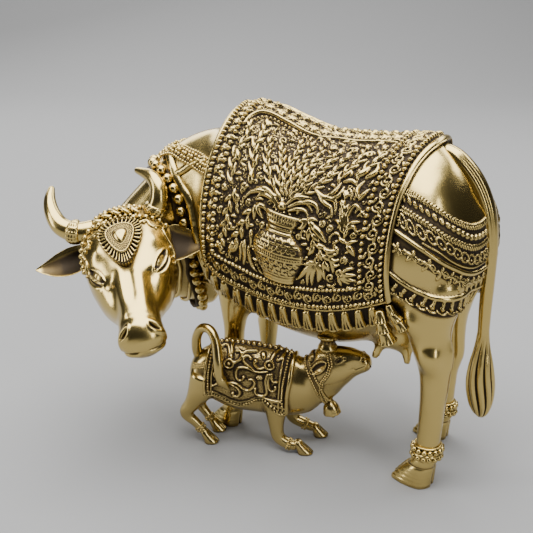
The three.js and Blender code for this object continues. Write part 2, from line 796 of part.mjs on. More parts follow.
function calf(u, v, z) {
  const [c, s] = [Math.cos(CALF_TURN), Math.sin(CALF_TURN)];
  return vec(CALF_AT.x + u * c - v * s, CALF_AT.y + u * s + v * c, z);
}

function calfRows(rows) {
  return rows.map(([u, v, z, ...radii]) => [...calf(u, v, z).toArray(), ...radii]);
}

// The calf's barrel: u, back, widest and belly height, half width.
const CALF_BARREL = [
  [-14, 50, 46, 42, 4],
  [-12, 55, 46, 38, 8],
  [-7, 60.5, 46, 33, 11],
  [2, 65.5, 46, 27, 13],
  [14, 67, 45, 22.5, 13.5],
  [28, 66.5, 44, 21.5, 13.5],
  [42, 65, 43, 21, 13],
  [54, 61, 42, 22, 12],
  [63, 56, 42, 25, 10],
  [69, 49, 40, 30, 4.5],
];

function calfBarrel(t, turn, height) {
  const [u, top, middle, bottom, half] = along(CALF_BARREL, t);
  const lift = Math.cos(turn);
  return calf(
    u,
    -(half + height) * Math.sin(turn),
    middle + ((lift > 0 ? top - middle : middle - bottom) + height) * lift,
  );
}

const CALF_NECK = [
  [46, 0, 43, 12, 19, 19],
  [56, 0, 45.5, 10.5, 17, 17.5],
  [64, 0, 48.5, 9.5, 14, 18],
  [71, 0, 55, 8.5, 11, 17],
];

function makeCalfBody() {
  const [steps, sides] = [9, 12];
  const rings = [];
  for (let i = 0; i <= steps; i++) {
    rings.push(Array.from({ length: sides }, (_, j) => calfBarrel(i / steps, (2 * Math.PI * j) / sides, 0)));
  }
  const parts = [skin(rings, calf(-14.6, 0, 46), calf(69.8, 0, 40))];
  const face = [
    [66, 0, 52, 7, 10, 12],
    [72, 0, 54, 9.8, 15, 15],
    [79, 0, 57.5, 9.8, 13.5, 13.5],
    [86, 0, 60, 7.6, 10.5, 10.5],
    [92, 0, 61, 5.8, 7.6, 7.6],
    [96.5, 0, 61.5, 5.6, 6, 5.8],
    [99, 0, 61.8, 4, 4.2, 4],
  ];
  parts.push(limb(calfRows(CALF_NECK), { steps: 4, sides: 10, up: vec(0, 0, 1) }));
  parts.push(limb(calfRows(face), { steps: 7, sides: 10, up: vec(0, 0, 1) }));
  return parts;
}

// Rosettes and scrolls on the near side of the calf's cloth: place along it, place down it, and turn.
const CALF_ROSETTES = [
  [0.3, 0.45],
  [0.72, 0.45],
];
const CALF_SCROLLS = [
  [0.27, 0.7, 0.4],
  [0.5, 0.42, 2.6],
  [0.66, 0.75, -0.5],
];

// The calf's own cloth: share of the way from its front to its rear edge, and round from hem to hem.
function calfCloth(u, v, height) {
  const dip = 0.12 * Math.sin(Math.PI * (1.1 * u + 0.05)) ** 2;
  return calfBarrel(0.8 - 0.53 * u, v * (1.86 - 0.35 * dip * Math.abs(v)), 1.1 + height);
}

function makeCalfCloth() {
  const linesU = [0, 0.04, 0.1, 0.3, 0.5, 0.7, 0.9, 0.96, 1];
  const linesV = [-1, -0.94, -0.86, -0.6, -0.3, 0, 0.3, 0.6, 0.86, 0.94, 1];
  const rise = (i, j) => ([1, 7].includes(i) || [1, 9].includes(j) ? 1.4 : 0);
  const parts = [slab(calfCloth, linesU, linesV, rise, 2.6)];
  for (const [u, v] of CALF_ROSETTES) {
    parts.push(stud(calfCloth(u, v, 0.3), 2.6));
  }
  for (const [u, v, turn] of CALF_SCROLLS) {
    const path = (t) => [u + 0.15 * t * Math.cos(turn + 3 * t), v + 0.22 * t * Math.sin(turn + 3 * t)];
    parts.push(stroke(calfCloth, path, { steps: 2, width: 1.3, height: 1.5 }));
  }
  return parts;
}

const CALF_LEGS = [
  // near hind, with its hock set back
  [
    [-3, -8, 46, 7, 9.5, 9.5],
    [-6, -9, 36, 6.2, 8, 8],
    [-11, -9, 27, 4.8, 5.4, 5.4],
    [-15.5, -9, 19.5, 3.8, 4.2, 4.2],
    [-9.5, -8.5, 13, 3, 3.2, 3.2],
    [-4, -8.5, 7, 2.9, 3, 3],
  ],
  // far hind
  [
    [-3, 7, 46, 6, 9.5, 9.5],
    [-4.5, 7.5, 36, 5.2, 8, 8],
    [-8, 7.5, 26, 4.2, 5.2, 5.2],
    [-11, 7.5, 18.5, 3.5, 3.8, 3.8],
    [-7, 7.5, 12, 2.9, 3, 3],
    [-3, 7.5, 7, 2.9, 3, 3],
  ],
  // near fore, bent at the knee with the foot drawn forward along the ground
  [
    [42, -8.5, 36, 6, 8, 8],
    [42.5, -9, 26, 5, 6.5, 6.5],
    [43, -9.5, 17, 4, 4.8, 4.8],
    [44.5, -9.5, 9.6, 3.8, 4.2, 4.2],
    [50, -9.5, 5.6, 3.6, 3.6, 3.6],
    [56, -9.5, 4.4, 3.2, 3.2, 3.2],
  ],
  // far fore, reaching further forward
  [
    [46, 8, 36, 6, 8, 8],
    [46.5, 10, 26, 5, 6.5, 6.5],
    [47.5, 12, 18, 4, 4.8, 4.8],
    [50, 13.5, 11.4, 3.8, 4, 4],
    [56, 14, 8, 3.6, 3.6, 3.6],
    [63, 14, 5.4, 3.2, 3.2, 3.2],
  ],
];

function makeCalfHoof([u, v], length) {
  const rows = [
    [u - 1, v, 6.5, 3.4, 3.3, 3.3],
    [u + 1.5, v, 1.5, 4.4, 3.6, length],
    [u + 1.5, v, SOLE, 4.1, 3.4, length - 0.4],
  ];
  const rings = rows.map(([cu, cv, z, across, back, front]) =>
    Array.from({ length: 7 }, (_, j) => {
      const turn = (2 * Math.PI * j) / 7;
      const fore = Math.cos(turn);
      return calf(cu + (fore > 0 ? front : back) * fore, cv + across * Math.sin(turn), z);
    }),
  );
  return skin(rings, calf(u - 1.5, v, 8.6), calf(u + 1.5, v, SOLE));
}

function makeCalfLegs() {
  const ahead = calf(1, 0, 0).sub(CALF_AT);
  const parts = CALF_LEGS.map((rows) => limb(calfRows(rows), { steps: 6, sides: 6, up: ahead }));
  parts.push(makeCalfHoof([-2, -8.5], 6), makeCalfHoof([-1, 7.5], 6));
  parts.push(makeCalfHoof([58.5, -9.5], 6.5), makeCalfHoof([65, 14], 6));
  return parts;
}

// The calf's tail stands up, turns over in a loop and ends in a pointed brush on its right flank.
const CALF_TAIL = [
  [-8, 0, 54, 3.4, 3.4, 3.4],
  [-9.5, -2, 62, 3.2, 3.2, 3.2],
  [-8.5, -4, 71, 3, 3, 3],
  [-4.5, -6, 77.5, 2.9, 2.9, 2.9],
  [1.5, -9, 78, 2.9, 2.9, 2.9],
  [6, -13, 72, 2.9, 2.9, 2.9],
  [8, -16.5, 62, 3, 3, 3],
  [9, -18, 53, 2.8, 2.8, 2.8],
  [11, -17.5, 48, 3.2, 3.2, 3.2],
  [14.5, -16.5, 43, 0.8, 0.8, 0.8],
];

function makeCalfTrimmings() {
  const parts = [limb(calfRows(CALF_TAIL), { steps: 13, sides: 6, up: calf(0, 1, 0).sub(CALF_AT) })];
  const neckSkinOfCalf = limbSkin(calfRows(CALF_NECK), vec(0, 0, 1));
  for (const turn of lines(0, 2 * Math.PI, 13).slice(1)) {
    parts.push(stud(neckSkinOfCalf(0.76, turn, 0.3), 2.3));
  }
  parts.push(stud(calf(78, 0, 33), 2.2), bead(calf(77.5, 0, 29.2), 3.4));
  for (const side of [-1, 1]) {
    const ear = [
      [73, side * 7, 60, 2, 1.6, 1.6],
      [69, side * 12, 58, 3.6, 1.2, 1.4],
      [65, side * 15, 56, 3.2, 1, 1.2],
      [61.5, side * 17, 54.5, 0.8, 0.7, 0.7],
    ];
    parts.push(limb(calfRows(ear), { steps: 3, sides: 6, up: vec(0, 0, 1) }));
    parts.push(stud(calf(82, side * 7.6, 64), 2.1));
    parts.push(stud(calf(74, side * 5, 70), 2));
  }
  return parts;
}

// The crown on the calf's poll reaches up to the cow's belly and is trimmed just under it.
function makeCalfCrown() {
  const rows = [
    [75, 0, 64, 3.4, 3.4, 3.4],
    [75, 0, 70, 3.4, 3.4, 3.4],
    [75, 0, 74, 4.4, 4.4, 4.4],
    [75, 0, 78, 3.2, 3.2, 3.2],
  ];
  return limb(calfRows(rows), { steps: 4, sides: 8, up: vec(1, 0, 0), tip: 0 });
}

function makeCalf(cow) {
  const body = [...makeCalfBody(), ...makeCalfCloth(), ...makeCalfLegs()];
  const parts = [...body, ...makeCalfTrimmings(), makeCalfCrown()];
  const clearance = cow.translate([0, 0, -0.3]);
  return fuse(parts).subtract(clearance);
}

function mesh(name, body, material) {
  const made = body.getMesh();
  const geometry = new THREE.BufferGeometry();
  const positions = new Float32Array(made.numVert * 3);
  for (let i = 0; i < made.numVert; i++) {
    positions.set(made.vertProperties.subarray(i * made.numProp, i * made.numProp + 3), i * 3);
  }
  geometry.setAttribute("position", new THREE.BufferAttribute(positions, 3));
  geometry.setIndex(new THREE.BufferAttribute(made.triVerts, 1));
  geometry.computeVertexNormals();
  const placed = new THREE.Mesh(geometry, material);
  placed.name = name;
  return placed;
}

const brass = new THREE.MeshStandardMaterial({ color: 0xc9a964, metalness: 1, roughness: 0.3 });
const cow = makeCow();
const group = new THREE.Group();
group.add(mesh("cow", cow, brass), mesh("calf", makeCalf(cow), brass.clone()));
group.position.set(-CENTRE_X, -CENTRE_Y, 0);

export default group;
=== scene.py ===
"""A cast brass cow with her calf, both dressed in carved cloths, beads and bells, as a Blender scene.

Sizes are in millimetres from a point on the ground under the cow's chest. She faces -X, her left side is -Y.
"""
import bpy
import numpy as np
from numpy import (
    arange, array, clip, concatenate, cos, cross, exp, full, interp, linspace, maximum, pi,
    radians, roll, sin, stack, where,
)
from mathutils import Matrix


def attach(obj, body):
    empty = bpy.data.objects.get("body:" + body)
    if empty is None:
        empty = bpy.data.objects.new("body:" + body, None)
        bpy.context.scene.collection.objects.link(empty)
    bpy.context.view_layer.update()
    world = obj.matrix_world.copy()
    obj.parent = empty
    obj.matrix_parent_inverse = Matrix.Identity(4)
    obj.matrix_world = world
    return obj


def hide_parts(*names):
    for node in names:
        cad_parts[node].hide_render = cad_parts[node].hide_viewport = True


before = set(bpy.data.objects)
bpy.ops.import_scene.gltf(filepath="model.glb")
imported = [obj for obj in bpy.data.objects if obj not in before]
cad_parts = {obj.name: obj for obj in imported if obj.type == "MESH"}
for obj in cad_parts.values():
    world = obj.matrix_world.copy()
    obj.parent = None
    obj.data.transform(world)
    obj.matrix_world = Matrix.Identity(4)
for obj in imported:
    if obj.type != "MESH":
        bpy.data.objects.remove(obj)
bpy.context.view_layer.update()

# The cow's body
# Brass cast hollow by the lost-wax way in one pour: barrel, neck, legs and udder run into each other in soft
# fillets. The hide is filed and polished bare, with a brown patina left where no polishing mop reaches.

MM = 0.001
MIDDLE = array([3.6, -30.8, 0.0])


def unit(vectors):
    """Vectors cut to a length of one."""
    return vectors / maximum(np.linalg.norm(vectors, axis=-1, keepdims=True), 1e-9)


def through(rows, t):
    """Evenly spaced rows of numbers joined by Catmull-Rom curves, read at t from 0 to 1."""
    rows = np.asarray(rows, float)
    last = len(rows) - 1
    at = clip(t, 0, 1) * last
    i = np.minimum(np.floor(at).astype(int), last - 1)
    k = (at - i)[..., None]
    a, b, c, d = (rows[clip(i + n, 0, last)] for n in (-1, 0, 1, 2))
    return b + 0.5 * k * (c - a + k * (2 * a - 5 * b + 4 * c - d + k * (3 * (b - c) + d - a)))


def tube(rows, t, turn, up, height=0.0):
    """A limb round a line of x, y, z, sideways, upper and lower radius: each ring stands square to the line,
    its width goes with the sine of turn and its rise with the cosine."""
    here = through(rows, t)
    ahead = unit(through(rows, t + 0.01)[..., :3] - through(rows, t - 0.01)[..., :3])
    side = unit(cross(ahead, up))
    rise = cross(side, ahead)
    lift = cos(turn)
    across = (here[..., 3] + height) * sin(turn)
    upward = (where(lift > 0, here[..., 4], here[..., 5]) + height) * lift
    return here[..., :3] - side * across[..., None] + rise * upward[..., None]


def angles(count):
    """Evenly spaced angles once round, the first of them zero."""
    return arange(count) * 2 * pi / count


def lattice(rows, columns):
    """Two grids of numbers: from 0 to 1 down the rows, and the angle once round along the columns."""
    return np.meshgrid(linspace(0, 1, rows), angles(columns), indexing="ij")


def volume(points, quads, triangles):
    """The volume inside a closed mesh: a sixth of the sum of its corners' triple products."""
    corners = concatenate([quads[:, [0, 1, 2]], quads[:, [0, 2, 3]], triangles])
    a, b, c = (points[corners[:, n]] for n in range(3))
    return np.einsum("ij,ij->", a, cross(b, c)) / 6


def outward(points, quads, triangles):
    """The same closed mesh with its faces turned outwards."""
    if volume(points, quads, triangles) < 0:
        return points, quads[:, ::-1], triangles[:, ::-1]
    return points, quads, triangles


def closed(rings, start, end):
    """A closed skin over a grid of points whose last column joins its first, with a fan to a point at each
    end."""
    rows, sides = rings.shape[:2]
    index = arange(rows * sides).reshape(rows, sides)
    beside = roll(index, -1, axis=1)
    quads = stack([index[:-1], beside[:-1], beside[1:], index[1:]], -1).reshape(-1, 4)
    first, last = full(sides, rows * sides), full(sides, rows * sides + 1)
    fans = concatenate([stack([beside[0], index[0], first], -1), stack([index[-1], beside[-1], last], -1)])
    return outward(concatenate([rings.reshape(-1, 3), [start], [end]]), quads, fans)


def together(parts):
    """Several meshes as one."""
    starts = np.cumsum([0] + [len(points) for points, _, _ in parts])
    points = concatenate([part[0] for part in parts])
    quads = concatenate([part[1] + start for part, start in zip(parts, starts)])
    triangles = concatenate([part[2] + start for part, start in zip(parts, starts)])
    return points, quads, triangles


def normals(points, quads, triangles):
    """The outward direction at each point: the mean of the faces round it, each by its diagonals' cross
    product."""
    sums = np.zeros_like(points)
    for faces in (quads, triangles):
        if len(faces) == 0:
            continue
        corner = points[faces]
        face = cross(corner[:, 2] - corner[:, 0], corner[:, -1] - corner[:, 1])
        for n in range(faces.shape[1]):
            for axis in range(3):
                sums[:, axis] += np.bincount(faces[:, n], face[:, axis], len(points))
    return unit(sums)


def sides_of(quads, triangles):
    """Every edge of the faces once, as pairs of point numbers."""
    pairs = [
        faces[:, [n, (n + 1) % faces.shape[1]]]
        for faces in (quads, triangles)
        for n in range(faces.shape[1])
    ]
    return np.unique(np.sort(concatenate(pairs), axis=1), axis=0)


def drift(points, edges):
    """The way from each point to the mean of its neighbours."""
    count = np.bincount(edges.ravel(), minlength=len(points))
    means = np.empty_like(points)
    for axis in range(3):
        value = points[:, axis]
        total = np.bincount(edges[:, 0], value[edges[:, 1]], len(points))
        total += np.bincount(edges[:, 1], value[edges[:, 0]], len(points))
        means[:, axis] = total / maximum(count, 1)
    return means - points


def hollows(part, softened):
    """How deep each point lies below its surroundings, in millimetres: the mesh is softened so many times,
    each time halfway to its neighbours' mean, and the way each point moved is measured along its softened
    normal."""
    points, quads, triangles = part
    edges = sides_of(quads, triangles)
    soft = points.copy()
    for _ in range(softened):
        soft += 0.5 * drift(soft, edges)
    return np.einsum("ij,ij->i", soft - points, normals(soft, quads, triangles))


class Tone:
    """A number that changes over the brass. Arithmetic on it adds Math nodes to the brass's own tree."""

    def __init__(self, brass, socket):
        self.brass, self.socket = brass, socket

    def math(self, operation, first, second):
        """One Math node fed with two numbers."""
        return self.brass.node("ShaderNodeMath", {"operation": operation}, {0: first, 1: second})

    def __add__(self, other):
        return self.math("ADD", self, other)

    def __mul__(self, other):
        return self.math("MULTIPLY", self, other)

    def __sub__(self, other):
        return self.math("SUBTRACT", self, other)

    def __rsub__(self, other):
        return self.math("SUBTRACT", other, self)

    def held(self):
        """The number kept between 0 and 1."""
        return self.brass.node("ShaderNodeClamp", {}, {"Value": self})


class Brass:
    """A procedural material and the one way its nodes are made."""

    def __init__(self, name):
        self.material = bpy.data.materials.new(name)
        self.material.use_nodes = True
        self.tree = self.material.node_tree
        self.shader = self.tree.nodes["Principled BSDF"]

    def node(self, kind, settings, sockets, output=0):
        """A node of a kind: its settings first, then a value or a link for each socket, and one output
        back."""
        made = self.tree.nodes.new(kind)
        for key, value in settings.items():
            setattr(made, key, value)
        for key, value in sockets.items():
            self.feed(made.inputs[key], value)
        return Tone(self, made.outputs[output])

    def feed(self, socket, value):
        """A link into a socket, or a plain value on it."""
        if isinstance(value, Tone):
            self.tree.links.new(value.socket, socket)
        else:
            socket.default_value = value

    def blend(self, share, low, high):
        """One colour turning into another as share goes from 0 to 1."""
        settings = {"data_type": "RGBA", "clamp_factor": True}
        return self.node("ShaderNodeMix", settings, {0: share, 6: low, 7: high}, 2)


def antique_brass(name, bright, warm):
    """Brass with bare polished high places, a brown patina that gathers in hollows and goes nearly black in
    the deepest of them, cloudy tarnish between, and the faint ripple of a hand-filed casting."""
    brass = Brass(name)
    place = brass.node("ShaderNodeTexCoord", {}, {}, "Object")
    hollow = brass.node("ShaderNodeAttribute", {"attribute_name": "hollow"}, {}, "Fac")
    cloud = brass.node("ShaderNodeTexNoise", {}, {"Vector": place, "Scale": 38.0, "Detail": 3.0})
    speck = brass.node("ShaderNodeTexNoise", {}, {"Vector": place, "Scale": 900.0, "Detail": 2.0})
    crevice = 1 - brass.node("ShaderNodeAmbientOcclusion", {"samples": 6}, {"Distance": 0.0035}, "AO")
    grime = (hollow * 1.5 + crevice * 1.5 + (cloud - 0.5) * 0.6 + (speck - 0.5) * 0.1 - 0.07).held()
    dark = (grime * 1.8 - 0.6).held()
    colour = brass.blend((grime * 1.6).held(), bright, warm)
    colour = brass.blend(dark, colour, (0.030, 0.020, 0.010, 1))
    brass.feed(brass.shader.inputs["Base Color"], colour)
    brass.feed(brass.shader.inputs["Roughness"], grime * 0.36 + cloud * 0.1 + 0.17)
    brass.feed(brass.shader.inputs["Metallic"], 1 - dark * 0.25)
    ripple = brass.node("ShaderNodeTexNoise", {}, {"Vector": place, "Scale": 160.0, "Detail": 2.0})
    wave = brass.node("ShaderNodeTexNoise", {}, {"Vector": place, "Scale": 55.0, "Detail": 1.0})
    sockets = {"Strength": 0.3, "Distance": 0.0004, "Height": ripple * 0.6 + wave * 4.6 + speck * 0.08}
    brass.feed(brass.shader.inputs["Normal"], brass.node("ShaderNodeBump", {}, sockets, "Normal"))
    return brass.material


METAL = {
    "cow_brass": antique_brass("cow brass", (0.60, 0.45, 0.155, 1), (0.22, 0.15, 0.055, 1)),
    "calf_brass": antique_brass("calf brass", (0.50, 0.375, 0.135, 1), (0.19, 0.125, 0.045, 1)),
}


# The least share of patina, that of the highest places, before any stain is added.
BAREST = -0.35


def object_of(name, data):
    """A new object of the scene that holds a mesh, a lamp or a camera."""
    made = bpy.data.objects.new(name, data)
    bpy.context.scene.collection.objects.link(made)
    return made


def cast(name, part, stain=0.0, slot="cow_brass", softened=24, depth=0.4, nodes=()):
    """A finished piece of the casting: its mesh, its brass, and at each point the patina's share, which is
    the depth below its surroundings plus any stain rubbed into the ground of a carving."""
    points, quads, triangles = part
    mesh = bpy.data.meshes.new(name)
    mesh.from_pydata((points - MIDDLE) * MM, [], quads.tolist() + triangles.tolist())
    mesh.attributes.new("hollow", "FLOAT", "POINT")
    share = clip(clip(hollows(part, softened) / depth, BAREST, 1) + stain, -1, 1)
    mesh.attributes["hollow"].data.foreach_set("value", share.astype(np.float32))
    mesh.shade_smooth()
    mesh.materials.append(METAL[slot])
    piece = object_of(name, mesh)
    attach(piece, "root")
    if nodes:
        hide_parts(*nodes)


# Rows of x, spine height, widest height, belly height, half width and sharpness of the ridge.
BARREL = array([
    [-51, 146, 135, 122, 9, 1], [-49, 160, 136, 110, 19, 1], [-44, 176, 137, 98, 28, 1],
    [-36, 192, 138, 89, 34.5, 1.1], [-28, 202.5, 138, 84, 39, 1.2], [-17, 207.5, 137.5, 78, 43, 1.25],
    [-4, 207.5, 136, 73, 45, 1.25], [12, 202, 133, 69, 46.5, 1.18], [32, 196.5, 130, 66.5, 47.5, 1.1],
    [52, 196, 129, 67.5, 48, 1.08], [70, 196.8, 131, 73, 47.5, 1.08], [86, 198.5, 135, 81, 46.5, 1.08],
    [100, 199.5, 140, 90, 45, 1.08], [113, 192, 143, 99, 42.5, 1.05], [123, 181, 144, 106, 37, 1],
    [130, 169, 143, 112, 29, 1], [134.5, 161, 141, 120, 19, 1], [136.5, 150, 139, 129, 9, 1],
])
# Swellings of thigh and shoulder: x, angle round the barrel, reach along x, reach in angle, height.
SWELLS = [(113, 1.75, 16, 0.55, 4.5), (-12, 1.95, 15, 0.5, 3)]


def barrel_row(x):
    """The barrel's rows joined by cubic curves, whose slope at a row is that of the line between its
    neighbours."""
    x = clip(x, BARREL[0, 0], BARREL[-1, 0])
    last = len(BARREL) - 2
    i = clip(np.searchsorted(BARREL[:, 0], x, side="right") - 1, 0, last)
    p, a, b, q = BARREL[maximum(i - 1, 0)], BARREL[i], BARREL[i + 1], BARREL[np.minimum(i + 2, last + 1)]
    span = b[..., 0] - a[..., 0]
    k = ((x - a[..., 0]) / span)[..., None]
    lead = where(i > 0, span / (b[..., 0] - p[..., 0]), 0.5)[..., None] * (b - p)
    trail = where(i < last, span / (q[..., 0] - a[..., 0]), 0.5)[..., None] * (q - a)
    return a + k * (lead + k * (3 * (b - a) - 2 * lead - trail + k * (lead + trail - 2 * (b - a))))


def barrel_skin(x, phi):
    """Each section is two half ellipses on a common width: above it the sine is raised to the ridge's
    power."""
    row = barrel_row(x)
    width = row[..., 4] + sum(
        height * exp(-(((x - at) / reach) ** 2) - ((np.abs(phi) - middle) / spread) ** 2)
        for at, middle, reach, spread, height in SWELLS
    )
    sine, cosine = sin(phi), cos(phi)
    sharp = where(cosine > 0, row[..., 5], 1)
    y = -width * np.sign(sine) * np.abs(sine) ** sharp
    z = row[..., 2] + where(cosine > 0, row[..., 1] - row[..., 2], row[..., 2] - row[..., 3]) * cosine
    return stack([x + 0 * z, y, z], -1)


def barrel(x, phi, height):
    """A point at a height off the barrel's skin. phi runs from the spine, positive down the near side."""
    e = 0.01
    along = barrel_skin(x + e, phi) - barrel_skin(x - e, phi)
    normal = cross(along, barrel_skin(x, phi + e) - barrel_skin(x, phi - e))
    out = stack([0 * normal[..., 0], -sin(phi), cos(phi)], -1)
    normal = unit(normal) * np.sign(np.einsum("...i,...i->...", normal, out))[..., None]
    return barrel_skin(x, phi) + normal * np.asarray(height)[..., None]


# Legs, near hind, far hind, near fore and far fore: rows of x, y, height, sideways, front and back radius,
# from inside the body down to the hoof.
LEGS = [
    [
        [112, -26, 128, 16, 20, 21], [114, -28, 112, 15, 18, 16], [115, -29, 99, 13.5, 15, 12],
        [116.5, -30, 87, 11, 11.5, 10.5], [119, -30, 74, 8.8, 9.2, 9.4], [119.5, -30, 62, 7.8, 8.2, 8.2],
        [119.5, -30, 49, 7.4, 8, 7], [119, -30, 36, 7.2, 7.8, 6.8], [118, -30, 19, 7.2, 7.8, 6.6],
    ],
    [
        [109, 26, 128, 16, 20, 20], [110, 27, 112, 14.5, 17, 15.5], [109.5, 27, 97, 12, 13.5, 11.5],
        [109, 27, 84, 9.2, 10.5, 9], [109.5, 27, 72, 7.6, 8, 8], [110, 27, 60, 7, 7.2, 7.8],
        [108.5, 27, 47, 6.3, 6.5, 6], [108, 27, 35, 6, 6.4, 5.8], [107, 27, 18, 6.4, 7, 6.2],
    ],
    [
        [-15.5, -23, 122, 13, 19, 18], [-15.5, -24.5, 102, 11, 14, 13], [-16.5, -25, 84, 8.6, 10, 9.6],
        [-17, -25, 68, 6.6, 7.2, 6.8], [-17.5, -25, 56, 6.4, 7.2, 6.6], [-17, -25, 46, 6, 6.8, 6.2],
        [-16.5, -25, 37, 5.4, 5.8, 5.4], [-16.5, -25, 27, 5.4, 5.8, 5.4], [-17, -25, 16, 5.6, 6.6, 5.8],
    ],
    [
        [-17, 25, 122, 14, 18, 18], [-18, 27, 102, 12, 14, 13], [-20, 28, 84, 9, 10.5, 9.6],
        [-21.5, 28, 68, 7.4, 7.8, 7.4], [-22, 28, 56, 7, 7.4, 7], [-22.5, 28, 46, 6.6, 7, 6.6],
        [-22.5, 28, 37, 5.8, 6, 5.6], [-22.5, 28, 27, 5.8, 6, 5.6], [-23, 28, 16, 6.2, 6.8, 6],
    ],
]
# Neck and udder: rows of x, y, z, sideways, upper and lower radius.
NECK = [
    [-18, 0, 150, 34, 44, 62], [-42, -2, 147, 31, 43, 68], [-60, -8, 142, 26, 37, 64],
    [-74, -19, 135, 21, 26, 72], [-83, -32, 128, 18.5, 19.5, 56], [-86, -44, 124, 16, 15, 24],
]
UDDER = [[66, 0, 84, 8, 8, 8], [76, 0, 83, 17, 12, 12], [88, 0, 83, 19, 14, 14], [98, 0, 85, 14, 12, 12]]
# Teats: foot x and y, and how far the tip leans each way.
TEATS = [(80, -9, -5, -4), (80, 9, -5, 4), (93, -8, 2, -3), (93, 8, 2, 3)]

# Thighs, hocks and knees that swell the legs: rods of x, y, z and radius.
JOINTS = [
    [[107, -32, 118, 6], [109, -35.5, 106, 9], [113, -34, 94, 6]],
    [[115, -34, 95, 5.5], [118, -35.6, 85, 8.2], [121, -34, 73, 4.5]],
    [[124, -30, 96, 3], [126.5, -30, 84, 3.6], [125, -30, 70, 3]],
    [[106, 33, 112, 6], [107, 34, 100, 7], [109, 33, 90, 5]],
    [[108, 31, 88, 4], [109.5, 32.5, 80, 5.5], [110, 31, 72, 3.5]],
    [[-21, -26, 60, 3], [-22, -26, 53, 4.4], [-21, -26, 46, 3]],
    [[-25, 28, 60, 3], [-26.5, 28, 53, 4.6], [-26, 28, 46, 3]],
]


def level_rings(rows, t, turn):
    """Level rings of a leg: its front goes with the cosine of turn towards the head, its width with the
    sine."""
    here = through(rows, t)
    fore = cos(turn)
    x = here[..., 0] - where(fore > 0, here[..., 4], here[..., 5]) * fore
    return stack([x, here[..., 1] + here[..., 3] * sin(turn), here[..., 2]], -1)


def limb(rows, steps, sides, up, tip=0.6):
    """A closed tube with a blunt point standing past each end by a share of the radius there."""
    rings = tube(rows, *lattice(steps, sides), array(up, float))
    rows = np.asarray(rows, float)
    ends = [rows[n, :3] + unit(rows[n, :3] - rows[m, :3]) * tip * rows[n, 3] for n, m in ((0, 1), (-1, -2))]
    return closed(rings, *ends)


def teat(x, y, lean_x, lean_y):
    """A tapering stub below the udder: its radius shrinks and its tip leans with its length."""
    share = array([0, 0.5, 1, 1.12])
    radius = array([4, 3.2, 2.7, 1.4])
    rows = stack([x + lean_x * share, y + lean_y * share, 80 - 14.5 * share, radius, radius, radius], 1)
    return limb(rows, 14, 20, (1, 0, 0), tip=0.5)


def body_parts():
    """The closed skins that the body is cast from, before they are run together."""
    share, turn = lattice(120, 110)
    x = BARREL[0, 0] + (BARREL[-1, 0] - BARREL[0, 0]) * (0.5 - 0.5 * cos(pi * share)) ** 0.95
    parts = [closed(barrel(x, turn, 0 * x), (-52, 0, 135), (137.2, 0, 139))]
    parts.append(closed(tube(NECK, *lattice(50, 80), (0, 0, 1)), NECK[0][:3], (-89, -52, 121)))
    for rows in LEGS:
        x, y, z = rows[-1][:3]
        parts.append(closed(level_rings(rows, *lattice(70, 40)), rows[0][:3], (x, y, z - 1)))
    parts.append(limb(UDDER, 30, 40, (0, 0, 1)))
    parts += [limb([[*row, row[-1], row[-1]] for row in rod], 20, 24, (1, 0, 0)) for rod in JOINTS]
    return parts + [teat(*foot) for foot in TEATS]


def run_together(name, parts, voxel, fillets):
    """Parts melted into one skin by a voxel remesh, whose creases are then filled: so many times over, each
    point that lies below its neighbours' mean is raised towards it along its normal."""
    points, quads, triangles = together(parts)
    mesh = bpy.data.meshes.new(name)
    mesh.from_pydata(points, [], quads.tolist() + triangles.tolist())
    rough = object_of(name, mesh)
    remesh = rough.modifiers.new("remesh", "REMESH")
    remesh.mode = "VOXEL"
    remesh.voxel_size = voxel
    skin = rough.evaluated_get(bpy.context.evaluated_depsgraph_get()).to_mesh()
    points = np.empty(len(skin.vertices) * 3, np.float32)
    skin.vertices.foreach_get("co", points)
    quads = np.empty(len(skin.loops), np.int32)
    skin.loops.foreach_get("vertex_index", quads)
    rough.to_mesh_clear()
    bpy.data.objects.remove(rough)
    bpy.data.meshes.remove(mesh)
    points, quads = points.reshape(-1, 3).astype(float), quads.reshape(-1, 4).astype(int)
    none = np.zeros((0, 3), int)
    edges = sides_of(quads, none)
    for _ in range(3):
        points += 0.5 * drift(points, edges)
    for _ in range(fillets):
        out = normals(points, quads, none)
        rise = np.einsum("ij,ij->i", drift(points, edges), out)
        points += out * (0.9 * maximum(rise, 0))[:, None]
    for _ in range(2):
        points += 0.5 * drift(points, edges)
    return outward(points, quads, none)


COW_SKIN = run_together("rough body", body_parts(), 1.7, 23)
cast("cow_body", COW_SKIN, depth=1.2, softened=25, nodes=("cow",))

# The cow's head
# Cast with the body and turned back over her left side: a broad brow, almond eyes under heavy lids, a nose
# with a groove down its bridge, and a wide wet muzzle. It is polished as bright as the hide.

POLL = array([-83.5, -52.8, 141.4])
FACE = unit(array([0.62, -0.639, -0.456]))
LEFT = unit(array([0.764, 0.606, 0.221]))
BROW = unit(cross(FACE, LEFT))
# Sections down the face: distance from the poll, half width, and top, widest and bottom height.
HEAD = [
    [-9, 9, -4, -12, -20], [-6, 18, 1, -12, -30], [0, 25, 4.5, -12, -40], [10, 28, 6.5, -12, -47],
    [22, 28.5, 6.5, -12, -52], [33, 27.5, 5, -13, -53], [44, 25.5, 3, -15, -49], [55, 21.5, 1.5, -17, -42],
    [66, 17, 0.5, -16, -34], [76, 13.5, 0, -13, -28], [82, 12.6, 0, -12, -25], [88.5, 13.4, 0.5, -11, -25],
    [94, 12.8, -2, -11.5, -24], [97.5, 9.8, -5.5, -12, -21], [99.5, 5, -9, -12, -17],
]


